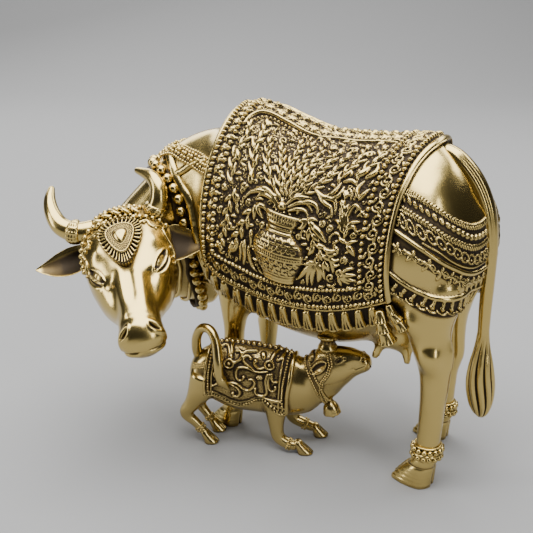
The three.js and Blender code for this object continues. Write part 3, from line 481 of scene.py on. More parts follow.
def head(across, down, out):
    """A place on the head: across to its left, down the face from the poll, and out of the brow."""
    outwards = np.multiply.outer(out, BROW)
    return POLL + np.multiply.outer(across, LEFT) + np.multiply.outer(down, FACE) + outwards


def bell(value, middle, spread):
    """A smooth bump of height one round a middle."""
    return exp(-(((value - middle) / spread) ** 2))


def ramp(value, low, high):
    """From 0 at low to 1 at high, level at both ends."""
    share = clip((value - low) / (high - low), 0, 1)
    return share * share * (3 - 2 * share)


def dome(square):
    """The height of a ball of radius one over a place whose squared distance from its middle is given."""
    return np.sqrt(clip(1 - square, 0, 1))


def almond(x, y):
    """The lift of an eye twenty millimetres long: a low ball with a scored pupil between two lids that meet
    in a narrow almond, a crease and a soft brow over the upper lid, and a hollow at the end towards the
    nose."""
    half = 2.1 * clip(1 - (x / 8.4) ** 2, 0, 1) ** 0.8
    ball = np.sqrt(clip(1 - (x / 5.6) ** 2 - (y / 2.7) ** 2, 0, 1))
    lift = where(np.abs(y) < half, -1.5 + 1.4 * ball - 0.5 * bell(np.hypot(x + 0.3, y), 0, 0.6), 0)
    edge = np.abs(y) - half
    lids = bell(edge, 0.45, 0.56) * ramp(9.8 - np.abs(x), 0, 2.2)
    lift += lids * where(y < 0, 1.4, 1.1)
    lift -= 0.8 * bell(edge, 2.0, 0.8) * (y < 0) * ramp(9 - np.abs(x), 0, 3)
    lift += 0.9 * bell(edge, 4.0, 1.7) * (y < 0) * ramp(9 - np.abs(x), 0, 5)
    return lift - 1.0 * bell(x, 11.5, 3) * bell(y, 0.5, 2.6)


def eye(across, down, out, side):
    """An almond eye set on one side of the face, looking out and forward."""
    ahead = unit(array([-9.0 * side, 17.4, 2.2]))
    away = array([0.665 * side, 0.0, 0.747])
    beside = cross(away, ahead) * side
    q = stack([across - 19.0 * side, down - 43.0, out + 3.9], -1)
    x, y, depth = q @ ahead, q @ beside, q @ away
    here = (np.abs(depth) < 9) & (np.abs(x) < 16) & (np.abs(y) < 12)
    return almond(x, y) * here


def nostril(across, down, out, side):
    """A comma-shaped pit, whose flared rim stands proud on its outer side."""
    x = (across - 8.6 * side) * side
    y = down - 91.2
    u, v = 0.80 * x + 0.60 * y, -0.60 * x + 0.80 * y
    v = v + 0.16 * u * u / 2.2
    pit = clip(1 - (u / 3.0) ** 2 - (v / 1.15) ** 2, 0, 1) ** 0.5
    rim = bell(np.hypot(u / 4.2, v / 2.4), 1, 0.36)
    return (out > -16) * (rim * (0.4 + 0.4 * ramp(u, -2, 2)) - 2.4 * pit)


def face_lift(across, down, out):
    """How far the face stands off its plain sections: brows, nose, cheeks, nostrils and mouth."""
    a = np.abs(across)
    lift = 1.3 * bell(a, 17, 5) * bell(down, 29, 6) * ramp(out, -17, -10)
    lift += 1.3 * ramp(10.6 - a, 0, 6) * ramp(down, 42, 54) * ramp(88 - down, 0, 9) * ramp(out, -15, -9)
    lift -= 1.5 * bell(across, 0, 3.2) * ramp(down, 38, 50) * ramp(80 - down, 0, 16) * ramp(out, -15, -9)
    lift -= 1.2 * bell(a, 12.5, 3.2) * ramp(down, 46, 58) * ramp(82 - down, 0, 10)
    lift += 0.8 * bell(a, 21, 7) * bell(down, 58, 10) * ramp(-out, 2, 14)
    lift += 1.0 * bell(out, -26, 8) * bell(down, 34, 14)
    lift -= 0.5 * bell(down - 0.02 * a ** 2, 82.5, 3.4) * ramp(12.5 - a, 0, 5) * ramp(out, -15, -9)
    mouth = out + 12.5 + 0.02 * a ** 2 - 1.1 * bell(a, 0, 1.8)
    lift -= 1.4 * bell(mouth, 0, 0.75) * ramp(down, 80, 88)
    lift += 0.6 * bell(mouth, -2.6, 1.4) * ramp(down, 84, 92)
    for side in (-1, 1):
        lift += eye(across, down, out, side) + nostril(across, down, out, side)
    return lift


def make_head():
    """Sections of two half ellipses down the face, turn running from the brow round by the left cheek, each
    point then moved along its own normal by the face's lift."""
    t, turn = lattice(204, 200)
    turn = turn - 0.45 * sin(turn)
    t = 0.5 * t + 0.5 * (t - 0.12 * sin(2 * pi * t) / pi)
    down, half, top, middle, bottom = np.moveaxis(through(HEAD, t), -1, 0)
    lift = cos(turn)
    across = half * sin(turn) * (1 + 0.03 * sin(2 * turn) ** 2)
    out = middle + where(lift > 0, top - middle, middle - bottom) * lift
    part = closed(head(across, down, out), head(0, -10, -12), head(0, 100.3, -12))
    rise = np.append(face_lift(across, down, out).ravel(), [0, 0])
    return part[0] + normals(*part) * rise[:, None], part[1], part[2]


cast("cow_head", make_head(), depth=0.75, softened=11)

# Horns and ears
# Two plain polished horns, round in section, stand in granulated collars. The ears are thin leaves cupped
# towards the front, left dark inside.

# Horns: across, down and out in the head's frame, then radius.
HORNS = [
    [
        [-17.5, 4, -4, 7], [-27.5, 3, -3, 6.6], [-36.5, -3.5, -1, 6], [-40.5, -13.5, 2, 5],
        [-41, -24.5, 4, 3.8], [-38.5, -35, 5, 1.8],
    ],
    [
        [16.5, 2, -8.5, 7], [21.5, 5.2, -1, 6.6], [26.5, 3, 6.5, 5.9], [28, -3.5, 11.5, 5.2],
        [24.9, -12.4, 13.3, 4.2], [16.2, -23.6, 11.7, 1.8],
    ],
]
# Shares of a horn's length: where its tip begins to close, and what a collar takes.
TIP_FROM = 0.955
COLLAR_SHARE = 0.13
# Ears: across, down and out along the ear's middle, half breadth, depth of the cup.
EARS = [
    [
        [-22, 9, -15, 5.5, 2], [-29, 11, -17, 8.8, 3.8], [-37, 12.4, -18, 9.8, 4.4],
        [-45, 12.2, -18.5, 8.2, 3.6], [-52, 11.2, -19, 5, 2.2], [-59, 10, -19, 0.8, 0.4],
    ],
    [
        [18, 19, -12, 7.5, 2.5], [25, 21.8, -13.5, 12, 4.6], [31, 23.8, -14.5, 12.4, 5],
        [37, 25.8, -15.3, 9.8, 4.2], [42.5, 28, -15.8, 5.4, 2.4], [47, 29.8, -16, 0.8, 0.3],
    ],
]


def horn_line(rows):
    """A horn's rows as rows of x, y, z and three equal radii."""
    rows = array(rows, float)
    return concatenate([head(rows[:, 0], rows[:, 1], rows[:, 2]), rows[:, [3, 3, 3]]], 1)


def make_horn(rows):
    """A tapering tube whose last rings close in a round tip, each shrunk like a ball's."""
    line = horn_line(rows)
    t, turn = lattice(70, 40)
    rings = tube(line, t, turn, BROW)
    middle = through(line, t)[..., :3]
    closing = dome(((t - TIP_FROM) / (1 - TIP_FROM)) ** 2)
    rings = middle + (rings - middle) * where(t > TIP_FROM, closing, 1)[..., None]
    return closed(rings, line[0, :3], line[-1, :3] + 0.05 * unit(line[-1, :3] - line[-2, :3]))


def make_collar(rows, start):
    """A short ring round the horn's root, swollen in its middle and covered with grains: its radius ripples
    both round it and along it. It starts at a share of the horn's length."""
    line = horn_line(rows)
    t, turn = lattice(34, 96)
    along = start + COLLAR_SHARE * t
    swell = 1.9 * sin(pi * t) ** 0.35 - 0.6
    grain = 0.34 * cos(15 * turn + 3.2 * np.round(5 * t)) * cos(5 * pi * t) * sin(pi * t)
    rings = tube(line, along, turn, BROW, swell + grain)
    ends = through(line, array([start, start + COLLAR_SHARE]))[:, :3]
    return closed(rings, *ends)


def make_ear(rows):
    """A crescent section carried along the ear: its breadth goes with the cosine of turn, its thin wall with
    the sine, and both edges curl forward by the square of the cosine. Its inside is stained."""
    rows = array(rows, float)
    t, turn = lattice(60, 64)
    here = through(rows, t)
    line = head(here[..., 0], here[..., 1], here[..., 2])
    ahead = unit(np.gradient(line, axis=0))
    faces = unit(BROW + 0.25 * FACE)
    side = unit(cross(ahead, faces))
    front = cross(side, ahead)
    wide = here[..., 3] * cos(turn)
    wall = (0.75 + 0.5 * cos(turn) ** 6) * sin(turn) * np.minimum(1, here[..., 3] / 2)
    curl = here[..., 4] * cos(turn) ** 2 - 0.55 * here[..., 4]
    rings = line + side * wide[..., None] + front * (wall + curl)[..., None]
    tip = head(*rows[-1, :3]) + 0.6 * ahead[-1, 0]
    above = cos(turn) * (1 if rows[0, 0] < 0 else -1)
    stain = (0.85 - 0.5 * t) * ramp(sin(turn), 0.2, 0.7) * ramp(here[..., 3], 1.5, 4)
    stain = stain * ramp(0.8 - above, 0, 0.3)
    return closed(rings, head(*rows[0, :3]), tip), np.append(stain, [0, 0])


cast("cow_horns", together([make_horn(rows) for rows in HORNS]), depth=0.8)
collars = [make_collar(*horn) for horn in zip(HORNS, (0.17, 0.2))]
cast("cow_horn_collars", together(collars), softened=10, depth=0.25)
ears, stains = zip(*[make_ear(rows) for rows in EARS])
cast("cow_ears", together(ears), concatenate(stains), softened=40, depth=5.0)

# Hooves and anklets
# Each foot is cast with its leg: a cloven hoof, ridged across where it grew, under an anklet of two rows of
# beads with a plain ring between them and a finer one on top.


def make_hoof(rows):
    """Level rings from inside the anklet to the ground. Down from the coronet a cleft is drawn in at the
    front, as a narrow bell of the angle, and the two toes swell beside it."""
    x, y, z, across, front, back = rows[-1]
    shape = [
        [x, y, z + 3, across * 0.8, front * 0.8, back * 0.8, 0],
        [x - 0.3, y, z * 0.95, across, front, back, 0],
        [x - 1.2, y, z * 0.74, across * 1.1, front * 1.25, back * 1.04, 0.35],
        [x - 2.4, y, z * 0.36, across * 1.24, front * 1.85, back * 1.1, 1],
        [x - 3.2, y, z * 0.08, across * 1.3, front * 2.25, back * 1.15, 1],
        [x - 3.2, y, 0, across * 1.24, front * 2.17, back * 1.1, 1],
    ]
    t, turn = lattice(42, 90)
    rings = level_rings(array(shape)[:, :6], t, turn)
    split = through(shape, t)[..., 6]
    away = np.abs((turn + pi) % (2 * pi) - pi)
    reach = 1 - split * (
        0.42 * bell(away, 0, 0.13) + 0.2 * bell(away, pi, 0.16) - 0.05 * bell(away, 0.42, 0.25)
    )
    reach += 0.012 * split * cos(2.6 * rings[..., 2]) - 0.06 * bell(t, 0.42, 0.03)
    middle = stack([x - 2.5 * split, y + 0 * split, rings[..., 2]], -1)
    rings = middle + (rings - middle) * reach[..., None]
    return closed(rings, (x, y, z + 3), (x - 3, y, 0))


def balls(places, radius, rows=6, sides=9):
    """One small ball at each place, all worked out together from one ball of rings."""
    places = np.asarray(places, float).reshape(-1, 3)
    radius = np.broadcast_to(radius, len(places))
    fall, turn = np.meshgrid(pi * arange(1, rows) / rows, angles(sides), indexing="ij")
    ring = stack([sin(fall) * cos(turn), sin(fall) * sin(turn), cos(fall)], -1)
    one = closed(ring, (0, 0, 1), (0, 0, -1))
    count = len(one[0])
    points = (one[0][None] * radius[:, None, None] + places[:, None]).reshape(-1, 3)
    starts = (arange(len(places)) * count)[:, None, None]
    return points, (one[1] + starts).reshape(-1, 4), (one[2] + starts).reshape(-1, 3)


def ovals(places, ahead, out, half, rise):
    """Rings of twelve points square to a line of places: half across it by rise out from it."""
    beside = cross(ahead, out)[:, None]
    turn = angles(12)[:, None]
    return places[:, None] + beside * half * cos(turn) + out[:, None] * rise * sin(turn)


def hoop(centre_ring, half, rise):
    """A closed ring whose section is a flat oval, along a ring of places with the way out at each."""
    places, out = centre_ring
    ahead = unit(roll(places, -1, axis=0) - roll(places, 1, axis=0))
    grid = ovals(places, ahead, out, half, rise)
    index = arange(grid[..., 0].size).reshape(grid.shape[:2])
    ahead, around = roll(index, -1, axis=0), roll(index, -1, axis=1)
    quads = stack([index, around, roll(ahead, -1, axis=1), ahead], -1).reshape(-1, 4)
    return outward(grid.reshape(-1, 3), quads, np.zeros((0, 3), int))


def around_leg(rows, height, count, off=0.0):
    """Places round a leg at a height, spaced evenly by angle and moved off it, and the way out at each."""
    rows = np.asarray(rows, float)
    at = interp(-height, -rows[:, 2], linspace(0, 1, len(rows)))
    ring = level_rings(rows, full(count, at), angles(count))
    middle = through(rows, array([at]))[0, :3]
    out = unit(ring - middle)
    return ring + out * off, out


def make_anklet(rows):
    """Two rows of fifteen balls round the leg's end, with a stout ring between them and a fine one on top."""
    base = rows[-1][2]
    parts = [hoop(around_leg(rows, base + 4.2, 60, 0.9), 1.1, 1.5)]
    parts.append(hoop(around_leg(rows, base + 8.6, 60, 0.3), 0.7, 0.9))
    for height in (6.6, 1.8):
        parts.append(balls(around_leg(rows, base + height, 15, 1.2)[0], 1.75, 7, 10))
    return together(parts)


cast("cow_hooves", together([make_hoof(rows) for rows in LEGS]), softened=10, depth=0.4)
cast("cow_anklets", together([make_anklet(rows) for rows in LEGS]), softened=6)

# The tail
# Cast with the rump: a smooth tail with a fold down each side, and a brush modelled as one mass, whose nine
# locks twist a little round each other between deep dark furrows, with the hair combed in fine grooves.

# The tail: rows of x, y, z and three radii. The brush: rows of x, y, z and radius.
TAIL = [
    [100, 0, 194, 3, 3, 4], [110, 0, 193, 5, 4, 5], [119, 0, 186.5, 5.6, 4.6, 5],
    [127.5, 0, 176, 5.4, 4.6, 5], [133.6, 0, 162, 5.2, 4.4, 4.4], [136.3, 0, 145, 4.8, 4.2, 4.2],
    [136.6, 0, 123, 4.3, 3.9, 3.9], [136.4, 0, 103, 3.8, 3.6, 3.6], [136.5, 0, 84, 3.4, 3.3, 3.3],
]
BRUSH = [
    [136.5, 0, 92, 3.3], [136.5, 0, 82, 4.4], [136.8, 0, 69, 6.8], [137.2, 0, 57, 7.9], [138, 0, 46, 6.8],
    [138.8, 0, 39, 4.2], [139, 0, 36.4, 2.2],
]


def make_brush():
    """Rings down the brush: nine round-backed waves twist with the depth, and twenty-seven fine ones are the
    hair. The furrows between the waves are stained."""
    t, turn = lattice(70, 144)
    here = through(BRUSH, t)
    wave = turn + 0.9 * t + 0.25 * sin(6 * t)
    crest = np.abs(cos(4.5 * wave + 0.5 * sin(5 * t)))
    lock = 1 + 0.3 * ramp(t, 0.05, 0.4) * ramp(1 - t, 0, 0.2) * (crest ** 0.7 - 0.7)
    hair = 0.014 * cos(27 * wave + 2 * sin(6 * t)) * sin(pi * t) ** 0.5
    reach = here[..., 3] * (lock + hair)
    rings = here[..., :3] + stack([cos(turn), sin(turn), 0 * turn], -1) * reach[..., None]
    stain = 0.9 * ramp(0.5 - crest, 0, 0.3) * ramp(t, 0.1, 0.3)
    return closed(rings, (136.5, 0, 94), (139.2, 0, 35.4)), np.append(stain.ravel(), [0, 0])


def make_tail():
    """A limb whose skin is drawn in along two lines down its outer side."""
    t, turn = lattice(140, 48)
    away = np.abs((turn + pi) % (2 * pi) - pi)
    fold = -0.8 * bell(away, 0.9, 0.22) * ramp(t, 0.1, 0.3) * ramp(0.95 - t, 0, 0.5)
    rings = tube(TAIL, t, turn, array([1.0, 0, 0]), fold)
    return closed(rings, (98, 0, 193), (136.5, 0, 83))


cast("cow_tail", make_tail(), softened=30, depth=0.8)
cast("cow_tail_brush", *make_brush(), softened=9, depth=0.4)

# The saddle cloth
# Modelled in wax over the barrel and cast with it: a bordered cloth with strung beads along every edge, and
# in its near field a water pot whose leafy sprays climb to the spine. The ground is punched and left dark.

CLOTH_LIFT = 1.8
CLOTH_EDGE = radians(112)
CLOTH_LENGTH, CLOTH_DROP = 126.0, 122.0
CLOTH_GRID = (0.6, 129.8), (0, 129.2)
# The four strings of beads that run down: how far along each lies, and where it ends.
BEAD_COLUMNS = ((6.5, 121), (15.2, 109), (112, 109), (124.2, 121))
# Ground lower than this, in millimetres, counts as bare.
BARE = 0.25


def cloth(s, r, height):
    """The cloth follows the barrel at an even lift. s runs along it from its front edge and r down it from
    the spine, both in millimetres; both ends swing back near the spine."""
    phi = r / CLOTH_DROP * CLOTH_EDGE
    front = -33 + 5 * exp(-((phi / 0.87) ** 2))
    rear = 93 + 9 * exp(-((phi / 0.73) ** 2))
    return barrel(front + (rear - front) * s / CLOTH_LENGTH, phi, CLOTH_LIFT + height)


class Carving:
    """Relief in the making: grids of millimetres along and down a sheet, and the height of the brass
    there."""

    def __init__(self, along, down, step):
        self.along = arange(along[0], along[1] + step / 2, step)
        self.down = arange(down[0], down[1] + step / 2, step)
        self.s, self.r = np.meshgrid(self.along, self.down, indexing="ij")
        self.height = np.zeros_like(self.s)

    def near(self, s, r, reach):
        """The slices of the grids within reach of a place, and the squared distances there, one at the
        reach."""
        rows = np.searchsorted(self.along, (s - reach, s + reach))
        columns = np.searchsorted(self.down, (r - reach, r + reach))
        cut = slice(*rows), slice(*columns)
        return cut, ((self.s[cut] - s) ** 2 + (self.r[cut] - r) ** 2) / reach ** 2

    def lay(self, cut, height):
        """Builds the relief up to a height where it is lower."""
        self.height[cut] = maximum(self.height[cut], height)

    def bead(self, s, r, radius, rise):
        """A dome: the root of one less the squared distance, times its rise."""
        cut, away = self.near(s, r, radius)
        self.lay(cut, rise * dome(away))

    def string(self, path, pitch, radius, rise):
        """Beads at an even pitch along a path."""
        for s, r in spaced(path, pitch):
            self.bead(s, r, radius, rise)

    def stem(self, path, half, rise, ends=0.35):
        """A round-backed stroke: domes side by side along a path, narrowing to a share of its width at both
        ends."""
        places = spaced(path, 0.45)
        taper = ends + (1 - ends) * sin(pi * linspace(0.06, 0.94, len(places))) ** 0.6
        for (s, r), share in zip(places, taper):
            self.bead(s, r, half * share, rise * (0.45 + 0.55 * share))

    def leaf(self, path, half, rise):
        """A leaf: domes side by side, widest a third of the way along, with a vein scored down its middle."""
        places = spaced(path, 0.4)
        share = linspace(0.02, 0.97, len(places))
        widths = half * sin(pi * share ** 0.7) ** 0.8
        for (s, r), width in zip(places, widths):
            self.bead(s, r, width + 0.25, rise * (0.4 + 0.6 * width / half))
        for (s, r), width in zip(places[2:], widths[2:]):
            if width > 0.9:
                self.score(s, r, 0.42, 0.5)

    def score(self, s, r, radius, depth):
        """A dimple: the relief is lowered by one less the squared distance, times a third of its depth."""
        cut, away = self.near(s, r, radius)
        self.height[cut] -= depth * 0.35 * clip(1 - away, 0, 1)

    def ridge(self, away, half, rise, mask=1):
        """A round-backed line laid wherever a distance is less than half its breadth."""
        self.lay(..., rise * dome((away / half) ** 2) * mask)

    def curl(self, s, r, radius, start, turns, half, rise):
        """A spiral that closes evenly from its radius to a third of it, with a bead in its eye."""
        t = linspace(0, 1, 30)
        angle = radians(start) + turns * 2 * pi * t
        reach = radius * (1 - 0.68 * t)
        path = stack([s + reach * cos(angle), r + reach * sin(angle)], 1)
        self.stem(path, half, rise)
        self.bead(path[-1, 0], path[-1, 1], half * 1.35, rise)

    def spray(self, path, pairs, length, half, rise, lean=42, bend=26):
        """A leafy twig: a stem with leaves by turns to one side and the other, each leaning out from the way
        the stem runs and bending back along it, and one leaf at its tip."""
        path = smooth(path)
        self.stem(path, 0.55, rise * 0.75)
        for k, share in enumerate(linspace(0.1, 0.95, int(1.45 * pairs))):
            at = int(share * (len(path) - 2))
            heading = np.degrees(np.arctan2(*(path[at + 1] - path[at])[::-1]))
            side = 1 if k % 2 else -1
            blade = arc(path[at], heading + side * lean, length * (1.1 - 0.35 * share), side * -bend)
            self.leaf(blade, half, rise)
        heading = np.degrees(np.arctan2(*(path[-1] - path[-3])[::-1]))
        self.leaf(arc(path[-1], heading, length * 0.7, 0), half, rise)


def smooth(path, count=60):
    """A path of few points made a smooth one of many."""
    return through(path, linspace(0, 1, count))


def spaced(path, pitch):
    """Places at an even pitch along a path."""
    path = smooth(path) if len(path) < 12 else np.asarray(path, float)
    run = concatenate([[0], np.cumsum(np.linalg.norm(np.diff(path, axis=0), axis=1))])
    at = linspace(0, run[-1], max(int(round(run[-1] / pitch)), 1) + 1)
    return stack([interp(at, run, column) for column in path.T], 1)


def arc(foot, heading, length, bend):
    """A path of a given length that starts at a heading and turns evenly through bend, both in degrees."""
    turn = radians(heading + bend * linspace(0, 1, 14))
    steps = length / 14 * stack([cos(turn), sin(turn)], 1)
    return np.asarray(foot) + concatenate([[[0, 0]], np.cumsum(steps, axis=0)])


def relief(wax, surface, depth):
    """The closed skin of a carved sheet: its points at their heights, a skirt down to a depth under the hide,
    and a fan from the skirt to a point on the body's own middle line."""
    top = surface(wax.s, wax.r, wax.height)
    rows, columns = top.shape[:2]
    index = arange(rows * columns).reshape(rows, columns)
    quads = stack([index[:-1, :-1], index[:-1, 1:], index[1:, 1:], index[1:, :-1]], -1).reshape(-1, 4)
    rim = concatenate([index[0, :-1], index[:-1, -1], index[-1, :0:-1], index[:0:-1, 0]])
    skirt = surface(wax.s.ravel()[rim], wax.r.ravel()[rim], full(len(rim), -depth))
    foot = rows * columns + arange(len(rim))
    quads = concatenate([quads, stack([rim, foot, roll(foot, -1), roll(rim, -1)], -1)[:, ::-1]])
    fan = stack([foot, full(len(rim), rows * columns + len(rim)), roll(foot, -1)], -1)[:, ::-1]
    inside = skirt.mean(axis=0)
    return outward(concatenate([top.reshape(-1, 3), skirt, [inside]]), quads, fan)


def padded(share, part, rest=0.0):
    """The stain of a grid's points, and one stain for all the points of its skirt."""
    return np.append(share.ravel(), full(len(part[0]) - share.size, rest))


def stained(wax, part, amount=0.9):
    """The stain of a carving's points: full on its ground, none on what stands high; its skirt is all
    stained."""
    return padded(amount * (1 - ramp(wax.height, 0.15, 0.8)), part, 0.9)


def inner_hem(s):
    """The inner string of beads sags a little forward of the middle."""
    return 109.5 + 4 * exp(-(((s - 50) / 30) ** 2))


def outer_hem(s):
    """The outer string sags the same way, further down."""
    return 121 + 4.8 * exp(-(((s - 40) / 35) ** 2))


def borders(wax):
    """The strings of beads along every edge, the plain rim outside them, and what fills each border: rosettes
    in front, a scrolling vine behind and along the hem."""
    s, r = wax.s, wax.r
    below = r - outer_hem(s)
    for away, half, rise in ((below - 2.6, 1.0, 1.3), (s - 2.6, 1.3, 1.3), (s - 127.9, 1.9, 1.9)):
        wax.ridge(away, half, rise, below < 3.7)
    hem = linspace(6.5, 124, 60)
    wax.string(stack([hem, outer_hem(hem)], 1), 2.55, 1.3, 2.2)
    hem = linspace(15.2, 112, 60)
    wax.string(stack([hem, inner_hem(hem)], 1), 2.45, 1.25, 2.1)
    for column, lowest in BEAD_COLUMNS:
        wax.string([(column, 0), (column, lowest / 2), (column, lowest)], 3.6, 1.55, 2.4)
    for n, place in enumerate(arange(4, 108, 6.6)):
        for turn in range(0, 360, 60):
            wax.leaf(arc((10.9, place), turn + 12 * n, 2.7, 10), 0.8, 1.1)
        wax.bead(10.9, place, 0.95, 1.7)
    for n, place in enumerate(arange(5, 112, 7.4)):
        side = 1 if n % 2 else -1
        wax.curl(118.1 + 0.7 * side, place, 3.4, 90 - 90 * side, 1.3 * side, 0.72, 1.7)
        for heading, away in ((62, 1.4), (100, 3.2)):
            foot = (118.1 - away * side, place + 2.2)
            wax.leaf(arc(foot, 90 - (90 - heading) * side, 3.8, 30 * side), 0.8, 1.4)
    for n, place in enumerate(arange(12, 118, 6.2)):
        side = 1 if n % 2 else -1
        middle = 0.5 * (inner_hem(place) + outer_hem(place)) + 0.9 * side
        wax.curl(place, middle, 2.9, 90 * side, 1.3 * side, 0.65, 1.5)
        wax.leaf(arc((place + 3.1, middle - 2.4 * side), 70 * side, 4.2, 40 * side), 0.8, 1.3)


# The pot in half relief: rows of height above its foot, half width. Its raised lines: height above the foot,
# half breadth, rise. Its rows of scrolls: height above the foot, the scrolls' radius and pitch.
POT = [[0, 9.8], [3, 10.2], [4.5, 11], [9, 14.2], [15, 16.6], [19, 16.6], [23, 14.2], [25.8, 9.6], [28, 7.8],
       [30.5, 8.2], [32.4, 9.8], [36, 10.6], [37, 10]]
POT_FOOT = (61.5, 110.0)
POT_LINES = [(1.2, 0.7, 0.5), (3, 0.6, 0.5), (5, 0.5, 0.4), (14.2, 0.55, 0.6), (17.2, 0.5, 0.5),
             (21.6, 0.5, 0.5), (27, 0.7, 0.7), (29, 0.6, 0.6), (31.2, 0.7, 0.7), (36.4, 0.7, 0.8)]
POT_SCROLLS = [(19.4, 1.5, 3.0), (12.0, 1.35, 2.7), (9.2, 1.35, 2.7), (6.9, 1.0, 2.1), (24, 1.1, 2.4)]


def throw_pot(wax):
    """Half a turned pot: the relief bulges by the root of one less the squared share of its half width. Its
    rim is ribbed, and rows of scrolls and grains run round its shoulder and belly between raised lines. What
    comes back is one wherever the ground between the scrolls is bare."""
    s, r = wax.s, wax.r
    rise = POT_FOOT[1] - r
    rows = array(POT)
    half = interp(rise, rows[:, 0], rows[:, 1])
    share = (s - POT_FOOT[0]) / half
    round_it = np.arcsin(clip(share, -1, 1))
    inside = (rise > 0) & (rise < rows[-1, 0]) & (np.abs(share) < 1)
    bulge = 0.34 * half * dome(share ** 2) + 0.9
    for at, wide, high in POT_LINES:
        bulge += high * bell(rise, at, wide)
    bulge += 0.35 * cos(34 * round_it) * ((rise > 32) & (rise < 35.6))
    work = Carving((wax.along[0], wax.along[-1]), (wax.down[0], wax.down[-1]), 0.5)
    for level, radius, pitch in POT_SCROLLS:
        reach = interp(level, rows[:, 0], rows[:, 1]) - 1.5
        for n, place in enumerate(arange(-reach, reach, pitch)):
            way = 1 if n % 2 else -1
            at = POT_FOOT[0] + place, POT_FOOT[1] - level + 0.3 * way
            work.curl(*at, radius, 90 * way, 1.1 * way, 0.46, 1)
    for level in (15.6, 33.8):
        reach = interp(level, rows[:, 0], rows[:, 1]) - 1
        row = [(POT_FOOT[0] + place, POT_FOOT[1] - level) for place in (-reach, 0, reach)]
        work.string(row, 1.5, 0.7, 0.9)
    between = ((5.6, 13.5), (14.7, 16.5), (17.8, 21), (22, 25.2))
    bands = sum((rise > low) & (rise < high) for low, high in between)
    wax.height = where(inside, bulge + 0.6 * work.height, wax.height)
    wax.bead(60, 69.6, 3.1, 3.8)
    wax.string([(57.4, 72.3), (60, 72.8), (62.6, 72.3)], 1.6, 0.9, 3)
    return inside * bands * (1 - ramp(work.height, 0.1, 0.6))


# Sprays from the pot's mouth: the stem's path, pairs of leaves, their length and half width.
TWIGS = [
    ([(59, 67), (53.5, 57), (51, 47), (47, 39)], 8, 5.0, 1.0),
    ([(59.5, 66), (57, 56), (55.5, 46), (56.5, 36), (55, 29)], 9, 4.8, 1.0),
    ([(60.5, 66), (61.5, 56), (61, 46), (63, 36), (62, 27)], 9, 4.8, 1.0),
    ([(61.5, 66), (66, 56), (66.5, 46), (70, 36), (68, 25)], 10, 4.8, 1.0),
    ([(62, 67), (68.5, 58), (72, 49), (78, 40), (80, 30)], 10, 5.0, 1.0),
    ([(63, 67), (71, 60), (78.5, 53), (84, 44), (86, 33)], 10, 5.0, 1.0),
    ([(58, 67), (50, 61), (44, 54), (40, 46), (38, 38)], 8, 5.2, 1.0),
    ([(26, 72), (22, 62), (21, 52), (24, 42), (22, 33)], 8, 5.4, 1.2),
    ([(38, 63), (34, 54), (31, 45), (32, 36), (30, 28)], 7, 5.6, 1.3),
    ([(89, 52), (91, 43), (95, 35), (94, 25)], 7, 5.2, 1.1),
    ([(100, 50), (101, 42), (105, 35), (104, 25)], 6, 5.6, 1.1),
]
# Leafy branches that hang down each side of the pot.
BRANCHES = [
    ([(43.5, 73), (40, 80), (36.5, 87), (33, 94), (31, 100)], 6, 6.8, 1.3),
    ([(28, 70), (25.5, 78), (24.5, 87), (23, 96), (22, 103)], 7, 5.6, 1.2),
    ([(77, 72), (80.5, 78), (84, 84), (89, 88.5), (92, 94)], 6, 6.6, 1.4),
    ([(103.5, 84), (101, 79), (100, 73), (98, 65), (96, 58)], 6, 5.2, 1.1),
]
